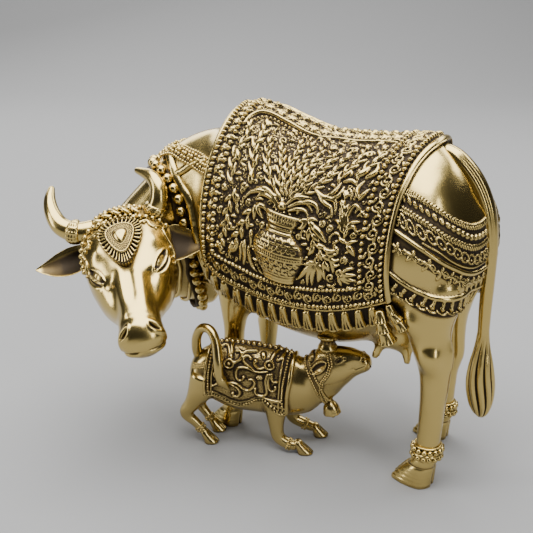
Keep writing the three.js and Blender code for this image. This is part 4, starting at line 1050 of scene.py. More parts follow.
# Single leaves and blades: path, half width.
LEAVES = [
    ([(62, 68.5), (66, 63.5), (71, 61.5), (76, 61)], 1.1),
    ([(63, 69.5), (69, 65.5), (75, 64.5), (79, 68.5)], 1.2),
    ([(64, 71), (70, 68.5), (75, 68.5), (77.5, 72)], 1.2),
    ([(70, 65), (76, 63.5), (81, 65), (82.5, 69)], 1.4),
    ([(57, 69), (52, 65.5), (46.5, 64), (40, 66.5)], 1.1),
    ([(56.5, 70), (51, 67.5), (45, 68), (42, 72)], 1.2),
    ([(50, 65.5), (44, 66.5), (38, 69.5), (35, 74)], 1.2), ([(44, 74), (46, 77), (49, 79.5)], 1.5),
    ([(44, 74), (48, 73.5), (50, 75)], 1.3), ([(77, 73), (73.5, 74), (70.5, 73.5)], 1.3),
    ([(77, 73.5), (75, 77), (71.5, 78.5)], 1.5), ([(77.5, 73), (80.5, 72), (83.5, 72.5)], 1.1),
    ([(80.5, 75.5), (85, 78), (90.5, 83)], 2.0), ([(83.5, 85.5), (82.5, 88.5), (80.3, 91)], 1.6),
    ([(87, 94.5), (82, 94.8), (76.5, 96.8)], 1.3), ([(86, 95), (80, 99), (74.3, 106)], 2.0),
    ([(86.5, 95), (81.5, 101), (80.3, 108.3)], 1.4), ([(87, 95), (84, 101), (83.2, 107.8)], 1.4),
    ([(87.5, 95), (88.5, 100), (87.2, 105.3)], 2.1), ([(88, 95), (90.5, 99), (91.3, 103)], 1.3),
    ([(93, 90), (95.8, 93), (96.5, 99)], 1.6), ([(94, 91), (97, 92.3), (99.5, 91.8)], 1.0),
    ([(95.5, 94), (98, 95), (100, 94.3)], 0.9), ([(90, 86.5), (94, 87.5), (98, 86.8)], 1.1),
    ([(91.5, 88.3), (95, 89.4), (98.5, 88.6)], 1.0), ([(101, 98.5), (105, 96.8), (109, 96.6)], 1.0),
    ([(101.5, 99), (105, 100), (110, 100.7)], 1.4), ([(101.5, 99.5), (105, 102.5), (110, 104.6)], 1.4),
    ([(101, 100), (103, 103), (106, 105.8)], 1.3), ([(100.3, 100), (100.6, 103.5), (101.5, 107)], 1.3),
    ([(103.5, 84), (106.5, 87), (108.6, 90)], 1.6), ([(103, 83), (106, 82.5), (109, 82)], 1.0),
    ([(100.5, 76), (96.5, 72), (93, 71)], 1.0), ([(100.3, 75), (97, 69), (95, 64)], 1.0),
    ([(100.4, 74), (98.5, 67), (97, 61)], 1.0), ([(100.8, 74), (101, 67), (104, 63), (108.4, 66.5)], 1.2),
    ([(101.5, 75.5), (104.5, 72.5), (109, 72)], 1.1), ([(102, 76), (105.5, 74.5), (108, 77.5)], 1.0),
    ([(77, 56), (83, 59.5), (91, 61), (93, 68)], 1.5), ([(80, 59), (86, 63), (90, 65), (91.5, 70)], 1.2),
    ([(84, 59), (88.5, 57), (91, 50.5)], 1.4), ([(88, 60), (92.5, 58), (93.8, 52.5)], 1.3),
    ([(94, 61), (97, 64), (97.5, 69)], 1.1), ([(104.5, 59), (102, 54), (104, 49)], 1.2),
    ([(105, 60), (107.5, 56), (109, 54)], 1.2), ([(97.5, 45.5), (101, 43.5), (104, 39.5)], 2.2),
    ([(104, 47), (108.5, 43.5), (107.5, 38)], 1.6), ([(92, 50), (97, 49), (101, 52)], 1.2),
    ([(36, 65), (35.5, 61), (34.5, 58)], 1.9), ([(24.5, 56), (22.5, 53.5), (20.5, 50.5)], 1.9),
    ([(41, 97), (42, 103.5), (44, 108), (46.5, 110)], 1.1), ([(38, 95), (38.5, 102), (37, 109.5)], 1.4),
    ([(36.5, 96), (35.8, 102), (34.8, 107.5)], 1.2), ([(30, 98), (28.5, 103), (27, 107.8)], 1.2),
    ([(33, 98), (32.2, 101), (30.5, 104)], 1.1), ([(42, 88), (43, 92), (42.3, 97)], 1.1),
]
# Curls: middle, radius, where the spiral starts, and its turns.
CURLS = [
    (76.6, 80.5, 2.6, 60, 0.9), (96.5, 81, 4.2, 150, 0.8), (86.5, 92.5, 2.1, 30, 0.9),
    (102.2, 92.3, 2.2, 60, -1.2), (100, 98.6, 2.0, 0, 1.3), (94.8, 101.8, 2.5, 60, 1.0),
    (82.5, 46.5, 2.5, 200, 1.2), (43, 52, 2.3, 0, 1.2), (98, 55.5, 2.7, 300, 1.2), (27, 90.5, 2.4, 200, -1.1),
    (20, 72, 1.8, 20, 1.0), (19.6, 84.5, 1.9, 300, -1.0), (30, 76, 2.2, 130, 1.1), (49.5, 83, 1.9, 40, 1.1),
    (73, 82.5, 1.6, 100, -1.0), (106.5, 79, 1.7, 0, 1.2), (92, 76, 2.1, 80, 1.2), (87, 73.5, 1.9, 200, -1.2),
    (72.5, 47, 1.8, 0, 1.2), (48, 51, 1.8, 180, -1.2), (107, 30, 2.6, 90, 1.2), (99, 30, 2.4, 0, -1.2),
    (88, 27, 2.4, 200, 1.2), (75, 26, 2.2, 0, 1.2), (45, 33, 2.6, 90, 1.1),
]


def fillers(wax, seed, first, last, count):
    """Small leaves that lie away from the pot, curls and beads, dropped at random wherever the ground is
    still bare, so that none of the field is empty."""
    chance = np.random.default_rng(seed)
    for s, r, turn in chance.uniform((first, 3, 0), (last, 108, 360), (count, 3)):
        cut, away = wax.near(s, r, 1.25)
        if away.size == 0 or wax.height[cut].max() > 0.35:
            continue
        away = np.degrees(np.arctan2(min(r - 68, -6), s - 60)) if r < 90 else 90
        if turn < 200:
            wax.leaf(arc((s, r), away + turn / 2 - 50, 4.3, turn - 100), 0.68, 1.5)
        elif turn < 320:
            wax.curl(s, r, 1.5, turn * 3, 0.85, 0.45, 1.3)
        else:
            wax.bead(s, r, 0.8, 1.1)


def spine_work(wax):
    """What lies over the spine: a row of knobs along it, a row of flowers beside them, and below those a
    raised welt that curves round the front of the field, with a string of beads inside it."""
    for place in arange(21, 108, 6.2):
        wax.bead(place, 0, 2.6, 2.4)
    for s in arange(24, 108, 7.4):
        for turn in range(0, 360, 45):
            wax.leaf(arc((s, 9), turn, 3.6, 14), 0.95, 1.4)
        wax.bead(s, 9, 1.4, 2.1)
    wax.stem([(17.8, 33), (19, 26), (23, 20), (30, 17.5), (40, 17), (52, 18), (60, 17.5)], 1.7, 2.4)
    wax.stem([(60, 17.5), (72, 16.5), (86, 17.5), (100, 16.5), (109, 18)], 1.1, 1.8)
    wax.string([(20, 38), (23, 27), (30, 21.5), (42, 21), (58, 21.5)], 2.6, 1.05, 1.6)


def punched(wax, seed):
    """The ground is stippled with a round punch: wherever nothing stands, a fine random grain is sunk in
    it."""
    grain = np.random.default_rng(seed).random(wax.height.shape)
    wax.height -= 0.28 * grain * (wax.height < BARE)


def chased(wax):
    """The bare ground of the saddle cloth's field is chased with low wandering scrolls: the product of two
    cosines, one along the cloth and one down it, each thrown off its line by a sine of the other."""
    s, r = wax.s, wax.r
    low = cos(2.2 * s + 1.7 * sin(1.0 * r)) * cos(2.0 * r + 1.7 * sin(1.2 * s))
    field = (s > 19) & (s < 108) & (r > 12) & (r < 105) & (wax.height < BARE)
    wax.height += 0.38 * field * ramp(low, -0.1, 0.8)


def turned_under(wax):
    """Beyond the hem the cloth drops to the hide and goes on sinking into it with the distance."""
    hem = wax.r - outer_hem(wax.s) - 3.6
    wax.height = where(hem > 0, -CLOTH_LIFT - 0.9 - 0.4 * hem, wax.height)


def carve_near_cloth():
    """The larger leaves, branches, twigs and curls first, then the spine, what fills the gaps, the borders,
    the chased ground, the pot and the punched grain. The ground's stain is its patina with painted shade on
    it: lightest near the spine and the front edge, and darker towards the rear and the hem, where less light
    falls from above."""
    wax = Carving(*CLOTH_GRID, 0.5)
    for path, half in LEAVES:
        wax.leaf(smooth(path), half, 2.4)
    for path, pairs, length, half in BRANCHES:
        wax.spray(path, pairs, length, half, 2.3)
    for path, pairs, length, half in TWIGS:
        wax.spray(path, pairs, length + 1.8, 0.82 * half, 1.9, lean=38, bend=34)
    for s, r, radius, start, turns in CURLS:
        wax.curl(s, r, radius, start, turns, 0.75, 1.7)
    spine_work(wax)
    fillers(wax, 5, 17.5, 110, 2600)
    borders(wax)
    chased(wax)
    worked = throw_pot(wax)
    punched(wax, 7)
    turned_under(wax)
    part = relief(wax, cloth, CLOTH_LIFT + 3)
    # Painted shade over the ground's patina: the stain grows from the spine and front edge towards the rear
    # and the hem, as if less light fell there from above.
    share = stained(wax, part, 0.16 + 0.76 * ramp(wax.s + 0.9 * wax.r, 40, 150))
    share[:worked.size] = maximum(share[:worked.size], 0.8 * worked.ravel())
    return part, share


def carve_far_cloth():
    """The far side has the same borders and spine, and in its field even rows of big curls with short
    sprays."""
    wax = Carving(*CLOTH_GRID, 0.75)
    for n, place in enumerate(arange(25, 106, 11.5)):
        for m, fall in enumerate(arange(28, 106, 11.5)):
            way = 1 if (n + m) % 2 else -1
            wax.curl(place, fall, 4.2, 90 * way, 1.3 * way, 0.9, 1.8)
            wax.spray([(place - 5.4, fall + 5), (place - 2.5 * way, fall - 5.6)], 3, 3.6, 0.8, 1.5)
    spine_work(wax)
    fillers(wax, 11, 17.5, 110, 700)
    borders(wax)
    punched(wax, 12)
    turned_under(wax)
    part = relief(wax, lambda s, r, height: cloth(s, -r, height), CLOTH_LIFT + 3)
    return part, stained(wax, part, 0.75)


cast("cow_cloth_near", *carve_near_cloth(), softened=10, depth=0.34)
cast("cow_cloth_far", *carve_far_cloth(), softened=10, depth=0.34)

# The fringe
# Fifteen tassels hang in a row from each side's hem on a black backing with a bright wavy edge, each a knot
# over a skirt of three ribs. Two strings of three stacked bells hang at each rear corner.


def placed(part, origin, ahead, out):
    """A part whose own axes are across, ahead and out, set down at a place."""
    ahead = unit(ahead)
    across = unit(cross(ahead, out))
    axes = stack([across, ahead, cross(across, ahead)])
    return part[0] @ axes + origin, part[1], part[2]


def turned(profile, sides=20, ribs=0, deep=0.0):
    """A round shape turned about its own length: rows of distance along it and radius, its skirt ribbed."""
    rows = array(profile, float)
    t, turn = lattice(3 * len(rows), sides)
    here = through(rows, t)
    reach = here[..., 1] * (1 + deep * cos(ribs * turn) * ramp(t, 0.35, 0.6))
    rings = stack([reach * cos(turn), here[..., 0], reach * sin(turn)], -1)
    return closed(rings, (0, rows[0, 0] - 0.2, 0), (0, rows[-1, 0] + 0.1, 0))


# The bells' profile: distance along and radius of their rings.
BELL = [[-0.6, 0.8], [0, 2.0], [0.8, 3.1], [3.0, 3.7], [5.2, 4.2], [6.2, 4.6], [6.8, 4.3], [7.0, 1.0]]


TASSELS, TASSEL_PITCH = 15, 8.05


def fringe(side):
    """The surface the fringe hangs on: s runs along the barrel from the cloth's front edge, r down from the
    outer string of beads, along the barrel's own curve. It stands off the barrel further the lower it is."""
    def surface(s, r, height):
        hem = CLOTH_EDGE * outer_hem(clip(s, 0, 126)) / CLOTH_DROP
        x = s - 33 + 1.3 * exp(-s / 12)
        return barrel(x, side * (hem + (r - 0.5) / 56), 1.0 + 0.1 * r + height)
    return surface


def carve_fringe(side):
    """Fifteen tassels at an even pitch: two beads, a broad stroke under three narrow ones, and a bar across
    their feet. The foremost lean forward. A raised line runs under them all, waved with their pitch."""
    wax = Carving((1.5, 121.5), (0.6, 18.2), 0.5 if side > 0 else 0.7)
    for n in range(TASSELS):
        s = 5.0 + TASSEL_PITCH * n
        lean = -4.5 * exp(-n / 3)
        wax.bead(s, 2.3, 1.35, 2.6)
        wax.bead(s + 0.2 * lean, 4.5, 0.95, 2.2)
        wax.stem([(s + 0.3 * lean, 6.6), (s + 0.6 * lean, 10.5), (s + lean, 15.6)], 2.9, 2.3, 0.55)
        for rib in (-1, 0, 1):
            knot, waist = (s + 0.25 * lean + 0.8 * rib, 5.0), (s + 0.6 * lean + 1.5 * rib, 10.5)
            wax.stem([knot, waist, (s + lean + 2.3 * rib, 16.2)], 1.2, 3.0, 0.85)
        wax.stem([(s + lean - 2.7, 15.9), (s + lean, 16.5), (s + lean + 2.7, 15.9)], 0.65, 3.2, 0.8)
    wave = 17.0 + 0.5 * cos(2 * pi * (wax.s - 5) / TASSEL_PITCH)
    wax.ridge(wax.r - wave, 0.8, 1.5)
    part = relief(wax, fringe(side), 4)
    return part, stained(wax, part)


for side, name in ((1, "near"), (-1, "far")):
    cast("cow_fringe_" + name, *carve_fringe(side), softened=6, depth=0.5)

# Strings of bells at a rear corner: where each string starts, then each bell's foot and its breadth.
BELL_STRINGS = [
    ((89.4, -43, 110.2), [((90.9, -43.2, 103.6), 7.2), ((92.5, -42.6, 98), 7.8), ((94.5, -41.6, 91.4), 8.8)]),
    (
        (94.5, -43.5, 114.2),
        [((97.1, -43.6, 109.3), 4.6), ((100.6, -43.2, 105.6), 5.6), ((103.3, -42.6, 101), 6.4)],
    ),
]


def make_corner_bells(side):
    """Each string's bells hang mouth to crown, every one a little wider than the one above it."""
    parts = []
    for top, bells in BELL_STRINGS:
        top = array(top) * (1, side, 1)
        for foot, wide in bells:
            foot = array(foot) * (1, side, 1)
            one = turned(BELL, 70, 10, 0.045)
            one = one[0] * (wide / 7.4, np.linalg.norm(foot - top) / 6.0, wide / 7.4), one[1], one[2]
            parts.append(placed(one, top, foot - top, (0, -side, 0)))
            top = foot
    return together(parts)


cast("cow_corner_bells", together([make_corner_bells(1), make_corner_bells(-1)]), softened=8, depth=0.3)

# The neck's beads and straps
# All cast on the hide: a necklace of big beads on a dark band, a polished strap with a corner behind it, a
# band of flowers over the crest, two lines at the throat, and on the chest strings of beads with a bell and a
# swirl.

# Lines down the near side of the neck: share of the way along it, and turn from its crest.
NECKLACE = [(0.52, 0), (0.506, 0.35), (0.472, 0.7), (0.455, 0.95), (0.425, 1.22), (0.449, 1.41), (0.471, 1.6),
            (0.512, 1.72), (0.568, 2.02), (0.617, 2.16), (0.66, 2.6), (0.68, pi)]
STRAP = [
    (0.41, 0), (0.4, 0.45), (0.389, 0.87), (0.361, 1.14), (0.310, 1.37), (0.3, 1.56), (0.305, 1.67),
    (0.322, 1.78), (0.36, 2.1), (0.4, 2.6), (0.42, pi),
]
STRAP_BACK = [(0.385, 0.88), (0.308, 0.91), (0.245, 0.89), (0.14, 0.86)]
THROAT = [
    [(0.6, 1.6), (0.622, 2.01), (0.672, 2.18), (0.728, 2.51), (0.76, pi)],
    [(0.69, 1.5), (0.708, 1.99), (0.76, 2.3), (0.8, 2.8), (0.82, pi)],
]
FLOWERS = [
    (0.44, 0), (0.422, 0.09), (0.355, 0.36), (0.299, 0.59), (0.260, 0.71), (0.222, 0.79), (0.185, 0.87),
    (0.150, 0.95), (0.1, 1.02),
]
CHEST = [(0.6, 2.13), (0.564, 2.16), (0.498, 2.17), (0.386, 2.21), (0.3, 2.25)]
# The points of the melted hide that lie on the neck and chest.
FRONT = COW_SKIN[0][(COW_SKIN[0][:, 0] < -8) & (COW_SKIN[0][:, 2] > 60)]


def on_neck(line, height):
    """Places at a height off the melted hide along a line on the neck, and the way out at each: a place on
    the plain neck is moved out to the hide's furthest point within two millimetres of the line through it."""
    line = smooth(line, 100)
    places = tube(NECK, *line.T, (0, 0, 1))
    out = unit(tube(NECK, *line.T, (0, 0, 1), 1.0) - places)
    away = FRONT[None] - places[:, None]
    along = np.einsum("ijk,ik->ij", away, out)
    beside = np.einsum("ijk,ijk->ij", away, away) - along ** 2
    lift = where((beside < 4) & (np.abs(along) < 9), along, -1).max(axis=1)
    lift = np.convolve(np.pad(lift, 4, "edge"), full(9, 1 / 9), "valid")
    return places + out * (lift + height)[:, None], out


def round_neck(line, height):
    """Such places down the near side and back up the far side, each only once, and the ways out."""
    near, out = on_neck(line, height)
    far, away = on_neck(array(line) * (1, -1), height)
    return concatenate([near, far[-2:0:-1]]), concatenate([out, away[-2:0:-1]])


def ribbon(places, out, half, rise):
    """A closed strip of flat oval section along a line of places with the way out at each, pinched at its
    ends."""
    ahead = unit(np.gradient(places, axis=0))
    grid = ovals(places, ahead, out, half, rise)
    return closed(grid, places[0] - 0.2 * ahead[0], places[-1] + 0.2 * ahead[-1])


def rosette(place, out, radius):
    """A flower: a bead with six smaller ones round it in the plane of the hide."""
    across = unit(cross(out, (0.3, 0.2, 0.9)))
    turn = angles(6)[:, None]
    ring = cos(turn) * across + sin(turn) * cross(out, across)
    eye_bead = balls([place + 0.3 * radius * out], radius * 0.48)
    return together([eye_bead, balls(place + ring * radius, radius * 0.46)])


def shaded(parts):
    """Parts with the stain of each, as one mesh and the stain of its every point."""
    stains = [full(len(part[0]), deep) for part, deep in parts]
    return together([part for part, _ in parts]), concatenate(stains)


def strung(places, pitch, radius, rows, sides):
    """Balls at an even pitch round a closed ring of places."""
    return balls(spaced(concatenate([places, places[:1]]), pitch)[:-1], radius, rows, sides)


def make_neck_jewels():
    """Flat bands and straps carried along their lines on both sides of the neck, and beads, flowers, a bell
    and a swirl set on them. The bands under beads and flowers are stained, all else is bare."""
    parts = [(hoop(round_neck(NECKLACE, 0.2), 5.2, 0.9), 0.9)]
    parts.append((strung(round_neck(NECKLACE, 2.4)[0], 7.5, 3.4, 10, 16), 0))
    parts.append((hoop(round_neck(STRAP, 0.1), 2.9, 1.6), 0))
    parts.append((ribbon(*on_neck(STRAP_BACK, 0.1), 2.7, 1.6), 0))
    for side in (1, -1):
        parts += [(ribbon(*on_neck(array(line) * (1, side), 0.1), 1.1, 1.3), 0) for line in THROAT]
        line = array(FLOWERS) * (1, side)
        places, out = on_neck(line, 0.1)
        parts.append((ribbon(places, out, 4.8, 0.9), 0.85))
        for place in spaced(places, 6.0):
            way = out[np.argmin(np.linalg.norm(places - place, axis=1))]
            parts.append((rosette(place + 0.8 * way, way, 2.7), 0))
        beside = cross(unit(np.gradient(places, axis=0)), out)
        for edge in (-4.7, 4.7):
            parts.append((balls(spaced(places + edge * beside, 2.2), 1.05), 0))
        places, _ = on_neck(array(CHEST) * (1, side), 0.6)
        parts.append((balls(spaced(places, 2.7), 1.35), 0))
        places, out = on_neck([(0.52, 2.3 * side), (0.4, 2.36 * side), (0.32, 2.45 * side)], 0.2)
        parts.append((ribbon(places, out, 3.4, 0.9), 0.9))
        parts.append((balls(spaced(places, 3.4) + 0.6 * out[0], 1.6), 0))
        bell_part = turned(BELL, 70, 10, 0.04)
        swirl = turned([[-2.6, 0.6], [-1.8, 2.2], [0, 2.9], [1.8, 2.2], [2.6, 0.6]], 56, 7, 0.16)
        for one, place, ahead in (
            (bell_part, (-43.6, -14.6 * side, 99), (0.6, -0.6 * side, -6)),
            (swirl, (-47.6, -17.6 * side, 98), (0.3, 0.2, 1)),
        ):
            parts.append((placed(one, array(place), array(ahead), (0, -side, 0)), 0))
    return shaded(parts)


cast("cow_necklace", *make_neck_jewels(), softened=8, depth=0.5)

# The harness on the thighs
# Behind the cloth three dressed bands cross each thigh: two plaited cords with a string of eyed beads
# between, a row of beaded rings over a polished strap, sprigs of flowers under it, and a lower strap hung
# with bells.


class Girth:
    """How far a finished skin reaches from a straight rod inside it: the furthest point in every cell along
    the rod and round it, with empty cells filled and all of them softened by their neighbours."""

    def __init__(self, skin, foot, rod, zero, first, last, cell=1.5):
        self.foot, self.rod = np.asarray(foot, float), unit(array(rod, float))
        self.zero = unit(zero - self.rod * np.dot(self.rod, zero))
        self.beside = cross(self.rod, self.zero)
        self.first, self.cell, self.columns = first, cell, 180
        away = skin[0] - self.foot
        row = np.round((away @ self.rod - first) / cell).astype(int)
        u, v = away @ self.zero, away @ self.beside
        column = np.round(np.arctan2(v, u) / (2 * pi) * self.columns).astype(int) % self.columns
        inside = (row >= 0) & (row <= (last - first) / cell)
        self.reach = np.zeros((int((last - first) / cell) + 1, self.columns))
        maximum.at(self.reach, (row[inside], column[inside]), np.hypot(u, v)[inside])
        for n in range(14):
            known = (self.reach > 0).astype(float)
            mean = self.spread(self.reach) / maximum(self.spread(known), 1e-9)
            self.reach = where((known > 0) & (n < 11), self.reach, mean)

    def spread(self, grid):
        """The sum of each cell and its eight neighbours: the first and last rows repeat, the columns join."""
        tall = concatenate([grid[:1], grid, grid[-1:]])
        tall = tall[:-2] + tall[1:-1] + tall[2:]
        return tall + roll(tall, 1, axis=1) + roll(tall, -1, axis=1)

    def skin(self, along, turn):
        """A point on the skin, read between the four nearest cells."""
        row = clip((along - self.first) / self.cell, 0, len(self.reach) - 1.001)
        column = turn / (2 * pi) * self.columns
        i, j = np.floor(row).astype(int), np.floor(column).astype(int)
        k, m = row - i, column - j
        near, far = j % self.columns, (j + 1) % self.columns
        low = self.reach[i, near] * (1 - m) + self.reach[i, far] * m
        high = self.reach[i + 1, near] * (1 - m) + self.reach[i + 1, far] * m
        out = cos(turn)[..., None] * self.zero + sin(turn)[..., None] * self.beside
        return self.foot + self.rod * along[..., None] + out * (low * (1 - k) + high * k)[..., None]

    def over(self, along, turn, height):
        """A point at a height off the skin, square to it: the way out comes from its slope along and
        round."""
        along, turn = np.broadcast_arrays(np.asarray(along, float), np.asarray(turn, float))
        steep = self.skin(along + 1.2, turn) - self.skin(along - 1.2, turn)
        round_it = self.skin(along, turn + 0.03) - self.skin(along, turn - 0.03)
        return self.skin(along, turn) + unit(cross(round_it, steep)) * np.asarray(height)[..., None]


RUMP = Girth(COW_SKIN, (95, 0, 0), (0, 0, 1), (0, -1, 0), 96, 206)
# How far the bands have sunk, at even steps from the cloth round to the tail.
BAND_FALL = [[0], [-6], [-12], [-17], [-20], [-20.5], [-19], [-17]]
BAND_LENGTH = 66.0
BAND_REACH = 45.0
BAND_TOP = 181


def thigh(side):
    """A surface over the rump: s runs along the bands from the cloth to the tail and r down from their upper
    line, both in millimetres."""
    def surface(s, r, height):
        fall = through(BAND_FALL, s / BAND_LENGTH)[..., 0]
        turn = s / BAND_REACH - 0.06
        return RUMP.over(BAND_TOP + fall - r, turn if side > 0 else pi - turn, height)
    return surface


# Lines along the bands, by how far along and how far down they run.
CORD_UPPER = [
    (-1, 2.7), (5.9, 0.3), (13.6, -3.3), (20.4, -4.8), (27.6, -5.2), (34.4, -3.5), (42.7, -0.6), (50, 2.2),
    (58, 4), (65.5, 4.5),
]
CORD_LOWER = [
    (-0.5, 10.7), (5.8, 8.7), (11.1, 6.8), (15.8, 5.7), (21.8, 4.9), (27.2, 5.5), (32.2, 6.9), (38.3, 8.5),
    (44, 11), (51, 13.5), (58, 15), (65.5, 15.5),
]
EYED_BEADS = [
    (1.9, 5.5), (6.5, 3.3), (10.6, 1.5), (14.5, 0.5), (18.3, -0.3), (22.1, -0.7), (26, -0.8), (29.8, -0.3),
    (33.3, 0.6), (36.4, 1.6), (39.5, 2.8), (42.4, 4.2), (45.4, 5.8), (48.6, 7.3), (52, 8.4), (55.5, 9.2),
    (59, 9.7), (62.5, 10),
]
RINGS = [
    (3.7, 15.2), (8.6, 13.1), (13.4, 12.2), (18.8, 10.9), (24.1, 10.3), (29.1, 10.8), (33.8, 12.3),
    (38.3, 14.4), (43, 16.8), (48, 19), (53, 20.8), (58, 21.8), (63, 22.2),
]
STRAP_UPPER = [(1.1, 22.8), (6.5, 20.5), (13.5, 18.9), (19.9, 18.7), (25.1, 19.4), (30.3, 20.7), (36.9, 22.8),
               (43.5, 25.7), (50, 28), (58, 30), (65.5, 31)]
STRAP_LOWER = [
    (0.9, 44.9), (10, 44.3), (17, 43.7), (23.6, 42.8), (32.8, 40.6), (40.8, 38.9), (50, 39), (58, 41),
    (65.5, 43),
]
# Sprigs and hanging cones: the peak of each, and how far it leans.
SPRIGS = [
    (7.2, 25.7, 1), (15.8, 22.8, 1), (23.5, 21.9, 0.9), (30.1, 23.5, 0.6), (35.7, 24.9, 0.4), (40.6, 27, 0.2),
    (46, 29.4, 0), (51.5, 31, 0), (57, 32.4, 0), (62.5, 33.4, 0),
]
CONES = [
    (3.4, 49.6, -3.4), (7.9, 49.3, -3.4), (12.6, 48.8, -3.2), (18, 47.5, -2.9), (23.7, 45.6, -2.4),
    (28, 44.2, -1.8), (32.3, 43.2, -1.1), (36.6, 42.2, -0.7), (41.5, 41.9, -0.3), (46.2, 42, 0),
    (51, 42.6, 0), (56, 43.8, 0), (61, 45.4, 0),
]


def plait(wax, path, half, rise):
    """A plaited cord: two rows of short strands that lean apart from its middle like the barbs of a
    feather."""
    places = spaced(path, 1.9)
    ahead = unit(np.gradient(places, axis=0))
    beside = stack([-ahead[:, 1], ahead[:, 0]], 1)
    wax.stem(places, half * 0.8, rise * 0.35, 0.9)
    for place, along, aside in zip(places, ahead, beside):
        for way in (-1, 1):
            wax.stem([place - 0.5 * along, place + way * 0.5 * half * aside + 0.3 * along,
                          place + way * half * aside + 1.2 * along], 0.62, rise, 0.8)


def carve_thigh(side):
    """Cords, straps and strokes along their lines, and beads, ringed beads, sprigs and cones at their places.
    Only the ground of the bands is stained: over the lower strap, and above and below it all, the hide
    shows."""
    wax = Carving((-1.4, 65.4), (-8.6, 57.4), 0.42 if side > 0 else 0.6)
    for cord in (CORD_UPPER, CORD_LOWER):
        plait(wax, smooth(cord), 1.35, 1.5)
    for s, r in EYED_BEADS:
        wax.bead(s, r, 1.75, 2.0)
        wax.score(s, r, 0.6, 1.6)
    for s, r in RINGS:
        for turn in radians(arange(0, 360, 24)):
            long, wide = 2.9 * cos(turn), 2.1 * sin(turn)
            wax.bead(s + 0.57 * long + 0.82 * wide, r + 0.82 * long - 0.57 * wide, 0.72, 1.8)
        wax.bead(s, r + 0.5, 0.8, 1.4)
    wax.stem(smooth([(20, 15.4), (28, 15.6), (34.5, 18.4), (43, 22), (52, 25), (64, 27)]), 0.9, 1.2, 0.6)
    wax.stem(smooth(STRAP_UPPER), 1.75, 2.0, 0.7)
    for s, r, lean in SPRIGS:
        wax.leaf(arc((s, r + 1.6), -60 - 30 * lean, 2.6, 20), 0.8, 1.7)
        for way in (-1, 1):
            wax.leaf(arc((s - 0.6 * lean, r + 2.2), 90 - 62 * way + 18 * lean, 3.6, 20 * way), 0.85, 1.6)
            place = s + 2.9 * way - 1.2 * lean, r + 3.3 + 0.4 * way * -lean
            wax.curl(*place, 1.5, 90 + 90 * way, way, 0.55, 1.6)
        wax.leaf(arc((s - 0.9 * lean, r + 3.0), 90 + 30 * lean, 5.8, 0), 0.8, 1.5)
    wax.stem(smooth(STRAP_LOWER), 1.8, 2.0, 0.7)
    for s, r, lean in CONES:
        wax.stem([(s, r - 1.6), (s + 0.45 * lean, r + 1.2), (s + lean, r + 4.6)], 0.85, 1.9, 0.9)
        wax.bead(s + 0.3 * lean, r + 0.4, 1.0, 2.1)
        wax.bead(s + 0.75 * lean, r + 3.4, 1.45, 2.2)
        rim = [(s + lean - 2.0, r + 5.4), (s + lean, r + 6.2), (s + lean + 2.0, r + 5.4)]
        wax.stem(rim, 0.8, 2.5, 0.8)
    r = wax.r
    first, upper, lower = (
        interp(wax.s, *array(path).T) for path in (CORD_UPPER, STRAP_UPPER, STRAP_LOWER)
    )
    hide = ramp(r, upper + 8.6, upper + 9.8) * ramp(lower - 2.2 - r, 0, 0.8)
    edge = ramp(first - 1.6 - r, 0, 0.6) + ramp(r - lower - 11.5, 0, 1)
    bare = clip(hide + edge, 0, 1)
    wax.height = where(wax.height < 0.2, 0.35 - 1.6 * bare, wax.height)
    part = relief(wax, thigh(side), 2.5)
    return part, padded(0.95 * (1 - ramp(wax.height, 0.05, 0.7)) * (1 - bare), part)


for side, name in ((1, "near"), (-1, "far")):
    cast("cow_thigh_bands_" + name, *carve_thigh(side), softened=8, depth=0.4)

# The calf's body
# Cast apart from the cow, kneeling under her belly with its muzzle raised: it has its own cloth, collar and
# bridle, and the same bare polished hide.

CALF_TURN = radians(18)
CALF_AT = array([-21, -45.5, 0])
AHEAD = array([cos(CALF_TURN), sin(CALF_TURN), 0])
ASIDE = array([-sin(CALF_TURN), cos(CALF_TURN), 0])


def calf(u, v, z):
    """A place on the calf: ahead of its hind feet, to its left, and above the ground."""
    up = np.multiply.outer(z, (0, 0, 1))
    return CALF_AT + np.multiply.outer(u, AHEAD) + np.multiply.outer(v, ASIDE) + up


def calf_rows(rows):
    """Rows of the calf's own u, v, z and radii as rows of x, y, z and radii."""
    rows = np.asarray(rows, float)
    return concatenate([calf(rows[:, 0], rows[:, 1], rows[:, 2]), rows[:, 3:]], 1)


# u, back, widest and belly height, half width.
CALF_BARREL = [
    [-14, 50, 46, 42, 4], [-12, 55, 46, 38, 8], [-7, 60.5, 46, 33, 11], [2, 65.5, 46, 27, 13],
    [14, 67, 45, 22.5, 13.5], [28, 66.5, 44, 21.5, 13.5], [42, 65, 43, 21, 13], [54, 61, 42, 22, 12],
    [63, 56, 42, 25, 10], [69, 49, 40, 30, 4.5],
]
CALF_NECK = [
    [46, 0, 43, 12, 19, 19], [56, 0, 45.5, 10.5, 17, 17.5], [64, 0, 48.5, 9.5, 14, 18],
    [71, 0, 55, 8.5, 11, 17],
]
CALF_FACE = [[66, 0, 52, 7, 10, 12], [72, 0, 54, 9.8, 15, 15], [79, 0, 57.5, 9.8, 13.5, 13.5],
             [86, 0, 60, 7.6, 10.5, 10.5], [92, 0, 61, 5.8, 7.6, 7.6], [96.5, 0, 61.5, 5.6, 6, 5.8],
             [99, 0, 61.8, 4, 4.2, 4]]
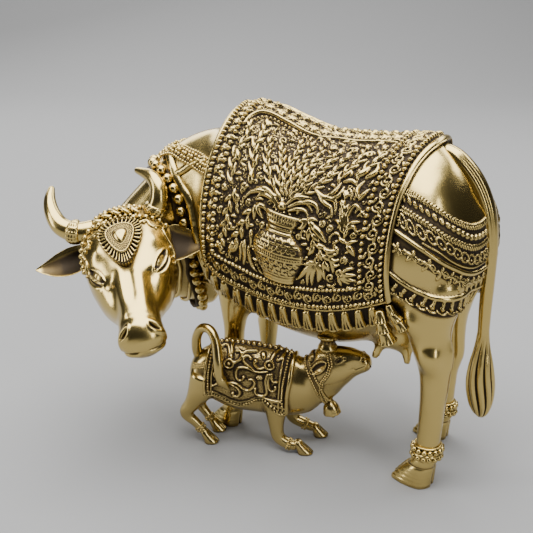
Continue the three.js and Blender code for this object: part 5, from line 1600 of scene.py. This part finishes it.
CALF_LEGS = [
    [
        [-3, -8, 46, 7, 9.5, 9.5], [-6, -9, 36, 6.2, 8, 8], [-11, -9, 27, 4.8, 5.4, 5.4],
        [-15.5, -9, 19.5, 3.8, 4.2, 4.2], [-9.5, -8.5, 13, 3, 3.2, 3.2], [-4, -8.5, 7, 2.9, 3, 3],
    ],
    [
        [-3, 7, 46, 6, 9.5, 9.5], [-4.5, 7.5, 36, 5.2, 8, 8], [-8, 7.5, 26, 4.2, 5.2, 5.2],
        [-11, 7.5, 18.5, 3.5, 3.8, 3.8], [-7, 7.5, 12, 2.9, 3, 3], [-3, 7.5, 7, 2.9, 3, 3],
    ],
    [
        [42, -8.5, 36, 6, 8, 8], [42.5, -9, 26, 5, 6.5, 6.5], [43, -9.5, 17, 4, 4.8, 4.8],
        [44.5, -9.5, 9.6, 3.8, 4.2, 4.2], [50, -9.5, 5.6, 3.6, 3.6, 3.6], [56, -9.5, 4.4, 3.2, 3.2, 3.2],
    ],
    [
        [46, 8, 36, 6, 8, 8], [46.5, 10, 26, 5, 6.5, 6.5], [47.5, 12, 18, 4, 4.8, 4.8],
        [50, 13.5, 11.4, 3.8, 4, 4], [56, 14, 8, 3.6, 3.6, 3.6], [63, 14, 5.4, 3.2, 3.2, 3.2],
    ],
]
CALF_TAIL = [
    [-8, 0, 54, 3.4, 3.4, 3.4], [-9.5, -2, 62, 3.2, 3.2, 3.2], [-8.5, -4, 71, 3, 3, 3],
    [-4.5, -6, 77.5, 2.9, 2.9, 2.9], [1.5, -9, 78, 2.9, 2.9, 2.9], [6, -13, 72, 2.9, 2.9, 2.9],
    [8, -16.5, 62, 3, 3, 3], [9, -18, 53, 2.8, 2.8, 2.8], [11, -17.5, 48, 3.2, 3.2, 3.2],
    [14.5, -16.5, 43, 0.8, 0.8, 0.8],
]


def calf_barrel(t, turn, height):
    """Sections of two half ellipses along the calf, turn running from its back down its right side."""
    u, top, middle, bottom, half = np.moveaxis(through(CALF_BARREL, t), -1, 0)
    lift = cos(turn)
    rise = where(lift > 0, top - middle, middle - bottom) + height
    right = ((half + height) * sin(turn))[..., None] * ASIDE
    return calf(u, 0, 0) - right + (middle + rise * lift)[..., None] * (0, 0, 1)


def calf_parts():
    """The closed skins that the calf is cast from, before they are run together."""
    t, turn = lattice(90, 80)
    parts = [closed(calf_barrel(t, turn, 0 * t), calf(-14.6, 0, 46), calf(69.8, 0, 40))]
    parts.append(limb(calf_rows(CALF_NECK), 40, 50, (0, 0, 1), 0.35))
    parts.append(limb(calf_rows(CALF_FACE), 60, 60, (0, 0, 1), 0.35))
    parts += [limb(calf_rows(rows), 50, 28, AHEAD, 0.35) for rows in CALF_LEGS]
    return parts


CALF_SKIN = run_together("rough calf", calf_parts(), 0.85, 16)
cast("calf_body", CALF_SKIN, slot="calf_brass", depth=0.6, softened=30, nodes=("calf",))
cast("calf_tail", limb(calf_rows(CALF_TAIL), 120, 20, ASIDE, 0.35), slot="calf_brass")
# Hooves: place on the ground ahead and aside, and how far the toes reach forward.
CALF_FEET = ((-2, -8.5, 6), (-1, 7.5, 6), (58.5, -9.5, 6.5), (65, 14, 6))


def make_calf_hoof(u, v, length):
    """Level rings down to the ground, longest in front, where a cleft is drawn in as a narrow bell of the
    angle."""
    shape = [[u - 1.5, v, 8.6, 2, 2, 2], [u - 1, v, 6.5, 3.4, 3.3, 3.3], [u + 1.5, v, 1.5, 4.4, length, 3.6],
             [u + 1.5, v, 0, 4.1, length - 0.4, 3.4]]
    t, turn = lattice(30, 64)
    here = through(shape, t)
    fore = cos(turn)
    away = np.abs((turn + pi) % (2 * pi) - pi)
    reach = (1 - 0.4 * ramp(t, 0.2, 0.6) * bell(away, 0, 0.16)) * fore
    ahead = (here[..., 0] + where(fore > 0, here[..., 4], here[..., 5]) * reach)[..., None] * AHEAD
    aside = (here[..., 1] + here[..., 3] * sin(turn))[..., None] * ASIDE
    rings = calf(here[..., 0] * 0, 0, 0) + ahead + aside + here[..., 2:3] * (0, 0, 1)
    return closed(rings, calf(u - 1.5, v, 8.8), calf(u + 1.5, v, 0))


cast("calf_hooves", together([make_calf_hoof(*foot) for foot in CALF_FEET]), slot="calf_brass", softened=12)

# The calf's cloth and jewels
# Its cloth is carved with scrolls on a stippled ground inside a beaded border, the same on both sides. It
# wears a bead-edged collar with a bell, a bridle of the same make, anklets, and a cap that meets the cow's
# belly.

FLANK = Girth(CALF_SKIN, calf(0, 0, 45), AHEAD, (0, 0, 1), -16, 72, cell=1.0)
MUZZLE = Girth(CALF_SKIN, calf(66, 0, 52), 33 * AHEAD + (0, 0, 10), (0, 0, 1), -6, 36, cell=0.8)
# Millimetres across the cloth and across the face for each radian round them.
FLANK_ROUND, MUZZLE_ROUND = 20, 10
# How far down the cloth's lower string of beads runs, from its rear to its front edge.
CALF_HEM = [
    (-3, 39), (-1.3, 39.7), (3.4, 41.7), (9, 44.7), (14.6, 47.7), (20.2, 48.9), (26.1, 46.7), (31.1, 42.9),
    (35.2, 42.3), (39.4, 44.4), (44.2, 46.9), (47.8, 49.4), (54, 51),
]
# Down the side: the front rim, its beads and its inner rim, then the rear's inner rim, beads and rim.
CALF_EDGES = array([
    [0, 52.9, 49.5, 46.9, 5.6, 3.2, 1.0], [14, 52.0, 48.8, 46.1, 4.2, 1.9, -0.2],
    [25, 51.4, 47.7, 45.5, 3.1, 1.0, -1.1], [37, 50.3, 47.1, 45.2, 2.2, 0.3, -1.7],
    [52, 49.0, 46.4, 44.4, 1.8, -0.2, -2.1],
])
CALF_SCROLLS = [
    [
        (37.8, 17.1), (33.5, 18.1), (29.3, 17.6), (27.2, 16.5), (22.9, 15.8), (19.7, 16.7), (18.4, 19.2),
        (18.9, 23.9), (20.7, 26.2), (22.6, 25.4), (23.4, 22.9),
    ],
    [(29.3, 16.9), (26.1, 14.6), (22.9, 12.3), (22.4, 10.4), (24, 8.8), (26.1, 9), (26.9, 9.9)],
    [(35.7, 14.5), (33, 15.8), (30.3, 13.9), (29.3, 11.7), (30.1, 11)],
    [(30, 5.1), (27.1, 5.7), (24, 6.3), (21.8, 7.6)],
    [(17.1, 6.8), (19.4, 6.6), (20.8, 7.9), (21.3, 9.6), (20.2, 11.5), (17.1, 13.4)],
    [(14.8, 1.4), (14, 3.7), (14.8, 6.8), (14.8, 10.2)],
    [(13.6, 10.2), (13.1, 6.8), (11.6, 4), (9.6, 3.5), (8, 4.4)],
    [(43.2, 1.9), (41.3, 4.6), (40.1, 7.2), (39.6, 9.3)], [(46.1, 4.1), (45.2, 7.2), (43.3, 8.5)],
    [(40.6, 18.5), (40.6, 22), (41.8, 25.3), (43.5, 25)],
    [(39.3, 18.9), (38.5, 25.5), (39.3, 31.8), (41.3, 34.2), (43, 32.4), (43.2, 29.7)],
    [
        (38, 19.3), (37, 25.3), (37.7, 32.2), (37.7, 36.9), (35.6, 39.1), (32.4, 38.7), (30.6, 36),
        (30.8, 32.7),
    ],
    [
        (26.6, 25), (28.7, 24.5), (30.3, 27.2), (29.2, 31.9), (26.1, 34.9), (22.9, 33.4), (19.7, 29.8),
        (15.5, 28.9), (11.6, 30.8), (8.3, 32.5),
    ],
    [(13.5, 29.5), (17.6, 31.8), (20.2, 34.6), (21, 38.6), (19.3, 41.9), (17, 41.6), (16.5, 39.1)],
    [(45.8, 42.9), (40.4, 42.1), (36.2, 40.9)], [(6.5, 18.9), (5, 23.3), (6.9, 27.1)],
    [(8.8, 26), (6.9, 31), (3.5, 33.7)],
]


def carve_calf_cloth():
    """One side is carved from the spine down, then the other gets its mirror image: scrolls that end in
    beads, two ringed beads, a flower, knobs along the spine, and strings of beads between raised rims."""
    wax = Carving((-3.2, 54.4), (-53.2, 53.2), 0.44)
    s, r = wax.s, np.abs(wax.r)
    hem = interp(s, *array(CALF_HEM).T)
    edge = [interp(r, CALF_EDGES[:, 0], column) for column in CALF_EDGES.T[1:]]
    for path in CALF_SCROLLS:
        wax.stem(smooth(path), 1.0, 1.6, 0.6)
        wax.bead(*path[-1], 1.25, 1.7)
    wax.leaf(smooth([(34.1, 5.6), (34.5, 7.5), (35, 9.4)]), 1.3, 1.5)
    for place in ((38.7, 12.8), (13.7, 14.4)):
        for turn in radians(arange(0, 360, 20)):
            wax.bead(place[0] + 2.7 * cos(turn), place[1] + 2.7 * sin(turn), 0.8, 1.6)
        wax.bead(*place, 1.35, 1.9)
    for turn in radians(arange(0, 360, 60)):
        wax.bead(33.2 + 1.5 * cos(turn), 22.4 + 1.5 * sin(turn), 0.85, 1.5)
    wax.bead(33.2, 22.4, 0.9, 1.9)
    for n in range(-7, 8):
        wax.bead(27 + 3.4 * n, 0, 1.5, 1.9)
    for column in (2, 5):
        wax.string(stack([CALF_EDGES[:, column], CALF_EDGES[:, 0]], 1), 2.0, 0.9, 1.7)
    wax.string(CALF_HEM[1:-1], 2.0, 0.9, 1.7)
    wax.height = maximum(wax.height, wax.height[:, ::-1])
    for column, half, rise in ((0, 1.5, 1.8), (2, 0.6, 1.2), (3, 0.6, 1.2), (5, 0.85, 1.5)):
        wax.ridge(s - edge[column], half, rise, r < hem + 1.6)
    wax.ridge(r - hem - 1.7, 0.8, 1.4)
    wax.ridge(r - hem + 1.7, 0.5, 1.1)
    punched(wax, 3)
    outside = maximum(maximum(s - edge[0] - 1.4, edge[5] - 0.8 - s), r - hem - 2.4)
    wax.height = where(outside > 0, -1.5 - 0.3 * outside, wax.height)
    part = relief(wax, lambda s, r, height: FLANK.over(s, r / FLANK_ROUND, height + 0.8), 2.5)
    return part, stained(wax, part, 0.2)


def small_piece(wax, middle, along, size):
    """The carving's places seen from a middle with x along a heading and y down from it, in pieces of a
    size."""
    c, d = unit(array(along))
    x, y = wax.s - middle[0], np.abs(wax.r) - middle[1]
    return (x * c + y * d) / size, (y * abs(c) - x * d * np.sign(c)) / size


def carve_calf_face():
    """Narrow eyes, pits for nostrils, the line of the mouth, and ears that lie back like leaves."""
    wax = Carving((-3.5, 34.8), (-24, 24), 0.34)
    s, r = wax.s, np.abs(wax.r)
    x, y = small_piece(wax, (18, 7.9), (5.2, -1.8), 0.31)
    lift = 0.6 * almond(x, y) * (np.abs(x) < 16) * (np.abs(y) < 12)
    seen = (np.abs(y) < 2.2) * (np.abs(x) < 7)
    pit = clip(1 - ((s - 31.8) / 1.2) ** 2 - ((r - 8.6) / 2.2) ** 2, 0, 1) ** 0.5
    lift += 0.5 * bell(np.hypot((s - 31.8) / 1.9, (r - 8.6) / 3.2), 1, 0.3) - 1.6 * pit
    mouth = r - interp(s, (25, 29.5, 32.7, 35), (15.9, 14.5, 12.9, 12))
    lift -= 0.8 * bell(mouth, 0, 0.8) * ramp(s, 24.6, 26.5)
    lift += 0.5 * bell(r - 5, 0, 3) * bell(s, 27, 5) - 0.5 * bell(r - 12.5, 0, 3) * bell(s, 26, 5)
    x, y = small_piece(wax, (4.2, 9.9), (-9.5, 2.9), 1)
    half = 2.6 * clip(1 - (x / 6.4) ** 2, 0, 1) ** 0.8
    rim = bell(np.abs(y) - half, 0, 0.62) * ramp(7 - np.abs(x), 0, 1)
    inside = ramp(half - np.abs(y), 0.3, 0.9)
    lift += 1.7 * rim + 0.7 * ramp(y + 0.4, 0, 2) * inside
    bud = clip(1 - ((s - 1.2) ** 2 + (r - 2.9) ** 2) / 6.2, 0, 1)
    edge = np.minimum(np.minimum(s + 3.5, 34.8 - s), 24 - r)
    wax.height = lift + 2.2 * bud ** 0.5 + 1.2 * ramp(edge, 0, 4) - 0.8
    part = relief(wax, lambda s, r, height: MUZZLE.over(s, r / MUZZLE_ROUND, height), 2.0)
    dark = 0.45 * inside * ramp(0.8 - y, 0, 1) + 0.5 * (bud > 0) + 0.35 * bell(mouth, 0, 0.6) * (s > 25)
    dark += 0.8 * pit + 0.4 * seen
    return part, padded(dark, part)


def round_face(line, shift, height):
    """A closed ring of places round the calf's head and the way out at each: the line gives how far ahead it
    runs at each turn from the crest down one side, and the other side mirrors it."""
    turn = linspace(-pi, pi, 161)[:-1]
    ahead = interp(np.abs(turn), *array(line).T[::-1]) + shift
    places = MUZZLE.over(ahead, turn, full(160, height))
    return places, unit(places - MUZZLE.over(ahead, turn, full(160, height - 1.0)))


# Collar and bridle: how far ahead each runs, and at what angle from the crest.
COLLAR = [(-2.4, 0), (-2.2, 0.45), (-1.2, 1.12), (0.2, 2.03), (0.9, 2.51), (2.4, 2.97), (2.6, pi)]
BRIDLE = [(12.4, 0), (12.4, 0.43), (12.6, 0.96), (9, 1.47), (4.1, 1.93), (1.6, 2.4), (1.2, pi)]
# The bell and the cap: distance along and radius of their rings.
CALF_BELL = [
    [-0.6, 0.8], [0.4, 1.6], [2, 2.3], [3.6, 3.6], [5.6, 4.8], [8, 5.3], [9.8, 5.6], [10.6, 5.4], [10.9, 4],
    [11, 1],
]
CAP = [[0, 5.2], [2.5, 6.2], [4.5, 5.6], [6.2, 4.6], [7.8, 4.6], [9.4, 6.2], [10.6, 6.7], [11.4, 6.2]]


def make_calf_jewels():
    """Stained bands with balls strung along both edges for the collar and the bridle, the bell, the ribbed
    cap, a band on each side of the rump, and a pair of rings of balls round each leg's end."""
    parts = []
    for line, half, beads in ((COLLAR, 2.2, 0.8), (BRIDLE, 1.5, 0.75)):
        parts.append((hoop(round_face(line, 0, 0.3), half, 0.8), 0.75))
        for way in (-1, 1):
            places, _ = round_face(line, way * (half - beads * 0.9), 0.9)
            parts.append((strung(places, 2.1 * beads, beads, 5, 8), 0))
    bell_part = turned(CALF_BELL, 60, 8, 0.02)
    top = calf(74.8, -1.5, 36)
    parts.append((placed(bell_part, top, calf(77, -1.5, 25) - top, -ASIDE), 0))
    parts.append((balls([top, calf(77.3, -1.5, 23.9)], (1.6, 1.5)), 0))
    cap = turned(CAP, 96, 12, 0.04)
    parts.append((placed(cap, calf(72.8, 0, 66.6), array([0, 0, 1.0]), -ASIDE), 0.1))
    rump = array([(-9.5, 16), (-8, 17), (-6, 17.4), (-3.5, 17.0), (-1, 16.2)])
    for side in (1, -1):
        line = smooth(rump * (1, side / FLANK_ROUND), 40)
        places = FLANK.over(*line.T, 0.3 + 0 * line[:, 0])
        out = unit(FLANK.over(*line.T, 1.3 + 0 * line[:, 0]) - places)
        parts.append((ribbon(places, out, 1.9, 0.9), 0.6))
        beside = cross(unit(np.gradient(places, axis=0)), out)
        for edge in (-1.3, 0, 1.3):
            parts.append((balls(spaced(places + edge * beside + 0.5 * out, 1.5), 0.75, 5, 8), 0))
    for rows, at in zip(CALF_LEGS, (0.9, 0.9, 0.84, 0.84)):
        for shift in (-0.02, 0.02):
            ring = tube(calf_rows(rows), full(16, at + shift), angles(16), AHEAD, 0)
            parts.append((balls(ring, 0.75, 5, 8), 0))
    return shaded(parts)


cast("calf_cloth", *carve_calf_cloth(), slot="calf_brass", softened=9, depth=0.36)
cast("calf_face", *carve_calf_face(), slot="calf_brass", softened=10, depth=0.4)
cast("calf_jewels", *make_calf_jewels(), slot="calf_brass", softened=6, depth=0.4)

# The brow jewels
# A drop-shaped brow plate with a polished drop inside a band, ringed by ribs that end in beads. Strings of
# beads and a chain of loops run from it round the horns and down before the ears, under a knotted crown on
# the poll.

# The plate: its middle, across and down from the poll, and how many ribs ring it.
PLATE_AT = (-0.4, 26)
PLATE_RIBS = 34


def on_head(across, down, height):
    """A place on the face by how far across and down it lies, at a height off its plain sections."""
    rows = array(HEAD)
    half, top, middle = (interp(down, rows[:, 0], rows[:, n]) for n in (1, 2, 3))
    lift = dome((across / half) ** 2)
    side = np.sign(across) * maximum(np.abs(across) - half, 0)
    slope = unit(stack([across / half ** 2, 0 * across, lift / (top - middle)], -1))
    base = head(across - side, down, middle + (top - middle) * lift - 1.6 * np.abs(side))
    return base + (slope[..., :1] * LEFT + slope[..., 2:] * BROW) * np.asarray(height)[..., None]


def make_brow_plate():
    """Rings of one drop-shaped outline, shrunk to its middle, at heights that give in turn a polished drop, a
    band of grains, a raised line, ribs that spread outwards, and a bead at the end of every rib. The ground
    between the ribs is stained."""
    rows, sides = 40, 340
    share, turn = np.meshgrid(linspace(1, 0.02, rows), angles(sides), indexing="ij")
    across = 12.6 * sin(turn) * (1 - 0.28 * cos(turn))
    down = 17 * cos(turn) * (1 + 0.22 * cos(turn))
    comb = cos(PLATE_RIBS * turn)
    height = 1.1 + 1.3 * ramp(1.02 - share, 0, 0.04)
    spokes = (share > 0.64) & (share < 0.93)
    height = where(spokes, 0.7 + 2.1 * ramp(comb, -0.3, 0.7), height)
    height += where(share >= 0.93, 1.5 * ramp(comb, -0.8, 0.3) * bell(share, 0.955, 0.035), 0)
    height += 1.5 * bell(share, 0.62, 0.025)
    grains = cos(26 * turn) * cos(2 * pi * (share - 0.48) / 0.09)
    height += where((share < 0.6) & (share > 0.38), 0.9 + 0.5 * grains, 0)
    height += 1.6 * bell(share, 0.35, 0.022)
    height += where(share < 0.32, 0.6 + 1.9 * dome((share / 0.3) ** 2), 0)
    x, y = PLATE_AT
    rings = on_head(across * share + x, y + down * share, height)
    foot = on_head(across[:1] + x, y + down[:1], full((1, sides), -2.5))
    part = closed(concatenate([foot, rings]), on_head(x, y + 1, -6.0), on_head(x, y, 4.6))
    stain = spokes * (1 - ramp(comb, 0.0, 0.6)) + 0.5 * ((share < 0.6) & (share > 0.38)) * (grains < 0.1)
    return part, concatenate([np.zeros(sides), stain.ravel(), [0, 0]])


def wire(places, radius):
    """A round wire of ten sides through places, its ends closed with blunt points."""
    places = np.asarray(places, float)
    radii = np.broadcast_to(radius, len(places))
    rows = concatenate([places, stack([radii] * 3, 1)], 1)
    ahead = unit(places[-1] - places[0])
    up = unit(cross(ahead, (0.31, 0.83, 0.46)))
    return limb(rows, 4 * len(places), 10, up)


# Strings of beads on the face: across and down from the plate outwards, and the first and last bead's radius.
FACE_STRINGS = [
    (
        [
            (-9, 11.5), (-14, 10), (-18.5, 10), (-22.5, 12.5), (-25.5, 16.5), (-27, 21.5), (-27.4, 27),
            (-27, 32),
        ],
        2.0, 1.5,
    ),
    ([(9, 12.5), (14, 12.5), (18.5, 12.7), (23, 13.5), (26, 15.5)], 2.1, 1.9),
]
# The chain's two lines, across and down.
LOOPS = [
    [(-12, 16), (-16, 15.5), (-19.5, 17), (-21, 20.5), (-23.5, 21), (-24.8, 25), (-24.6, 30), (-25.5, 35)],
    [
        (11.5, 17), (14, 15), (17.5, 16.3), (19, 20), (22.5, 18.6), (24.5, 21), (25.6, 25.5), (26, 31),
        (26.4, 37),
    ],
]


def make_face_strings():
    """Balls at an even pitch on a wire for each string. The chain is a thick wire that waves like a sine
    about its line, with balls beside it."""
    parts = []
    for path, first, last in FACE_STRINGS:
        places = spaced(path, 3.7)
        radius = linspace(first, last, len(places))
        parts.append(balls(on_head(places[:, 0], places[:, 1], 0.9), radius))
        parts.append(wire(on_head(*smooth(path, 14).T, 0.3), 0.7))
    for path in LOOPS:
        path = smooth(path, 22)
        wave = 0.9 * sin(linspace(0, 5 * pi, 22))
        parts.append(wire(on_head(path[:, 0] + wave, path[:, 1] + 0.4 * wave, 0.6), 1.1))
        parts.append(balls(on_head(path[::3, 0], path[::3, 1] + 2.0, 0.7), 1.05))
    return together(parts)


def make_crown():
    """A knot of two rolls that cross over the poll, between two rows of beads: their places down the head and
    their heights go with the sine and cosine of one angle, half a turn apart."""
    t = linspace(0, 1, 26)
    parts = []
    for phase in (0, pi):
        across = -14 + 26 * t
        down = 4.5 + 2.4 * sin(4.5 * pi * t + phase) + 2 * np.abs(2 * t - 1) ** 2
        height = 1.6 + 1.1 * cos(4.5 * pi * t + phase)
        parts.append(wire(on_head(across, down, height), 1.35))
    for down, radius in ((-0.5, 1.7), (9.2, 1.25)):
        across = arange(-13.5, 13.6, 3.0)
        parts.append(balls(on_head(across, down + 0.012 * across ** 2, 0.8), radius))
    parts.append(balls(on_head(array([-7.0, 0, 7]), array([4.5, 4.2, 4.5]), 2.6), 1.9))
    return together(parts)


cast("cow_brow_plate", *make_brow_plate(), softened=8, depth=0.3)
cast("cow_face_strings", make_face_strings(), softened=6)
cast("cow_crown", make_crown(), softened=6)

# The floor, the light and the camera
# The figure stands on a sweep of pale paper that curves up behind it, under one wide soft lamp overhead. Two
# weak lamps to the sides and two behind keep the edges of the brass alive, and the room beyond is dark.

AZIMUTH, ELEVATION = radians(30), radians(20)
TARGET = array([0, -14, 110])
DISTANCE = 600
# Picture size and focal length in pixels, and the sensor's width in millimetres.
PICTURE, FOCAL, SENSOR = 533, 960, 36
OUT = array([
    sin(AZIMUTH) * cos(ELEVATION), -cos(AZIMUTH) * cos(ELEVATION), sin(ELEVATION),
])


def to_row(place):
    """A place in millimetres as metres in the part's own frame."""
    return (array(place, float) - MIDDLE) * MM


def make_floor():
    """A flat sheet that turns up in a quarter of a circle behind the figure, square to the camera's
    heading."""
    bend = linspace(0, pi / 2, 40)
    away = concatenate([[-3.5], 1.2 + 0.9 * sin(bend), [2.1]])
    height = concatenate([[0], 0.9 - 0.9 * cos(bend), [3.0]])
    behind = array([-sin(AZIMUTH), cos(AZIMUTH)])
    beside = array([cos(AZIMUTH), sin(AZIMUTH)])
    points = [(*(behind * d + beside * w), h) for d, h in zip(away, height) for w in (-4, 4)]
    faces = [(2 * n, 2 * n + 1, 2 * n + 3, 2 * n + 2) for n in range(len(away) - 1)]
    mesh = bpy.data.meshes.new("floor")
    mesh.from_pydata(points, [], faces)
    mesh.shade_smooth()
    floor = object_of("floor", mesh)
    paper = bpy.data.materials.new("pale paper")
    paper.use_nodes = True
    shader = paper.node_tree.nodes["Principled BSDF"]
    shader.inputs["Base Color"].default_value = (0.25, 0.25, 0.25, 1)
    shader.inputs["Roughness"].default_value = 0.8
    shader.inputs["Specular IOR Level"].default_value = 0.2
    mesh.materials.append(paper)


def look_from(place, target):
    """The world matrix of something at a place whose own -Z points at the target, both in metres."""
    back = unit(np.asarray(place) - np.asarray(target))
    right = unit(cross((0, 0, 1), back))
    world_matrix = np.eye(4)
    world_matrix[:3, :4] = stack([right, cross(back, right), back, place], 1)
    return Matrix(world_matrix)


def lamp(name, place, target, wide, high, watts):
    """A white oblong lamp at a place in metres that shines at the target."""
    light = bpy.data.lights.new(name, "AREA")
    light.shape = "RECTANGLE"
    light.size, light.size_y, light.energy = wide, high, watts
    object_of(name, light).matrix_world = look_from(place, target)


make_floor()
lamp("top lamp", (-0.1, 0.0, 1.7), (0, 0, 0), 2.2, 2.0, 106)
lamp("left lamp", (-1.3, -1.0, 0.6), (0, 0, 0.1), 0.3, 1.2, 9)
lamp("right lamp", (1.2, -0.6, 0.7), (0, 0, 0.1), 0.2, 1.2, 6)
lamp("back left lamp", (-1.1, 0.8, 0.75), (0, 0, 0.12), 1.0, 0.6, 9)
lamp("back lamp", (0.3, 1.0, 0.9), (0, 0, 0.12), 1.2, 0.3, 7)

world = bpy.data.worlds.new("studio")
bpy.context.scene.world = world
world.use_nodes = True
world.node_tree.nodes["Background"].inputs["Color"].default_value = (0.6, 0.6, 0.6, 1)
world.node_tree.nodes["Background"].inputs["Strength"].default_value = 0.05

camera = bpy.data.cameras.new("camera")
camera.sensor_width = SENSOR
camera.lens = SENSOR * FOCAL / PICTURE
camera_holder = object_of("camera", camera)
camera_holder.matrix_world = look_from(to_row(TARGET + DISTANCE * OUT), to_row(TARGET))
bpy.context.scene.camera = camera_holder
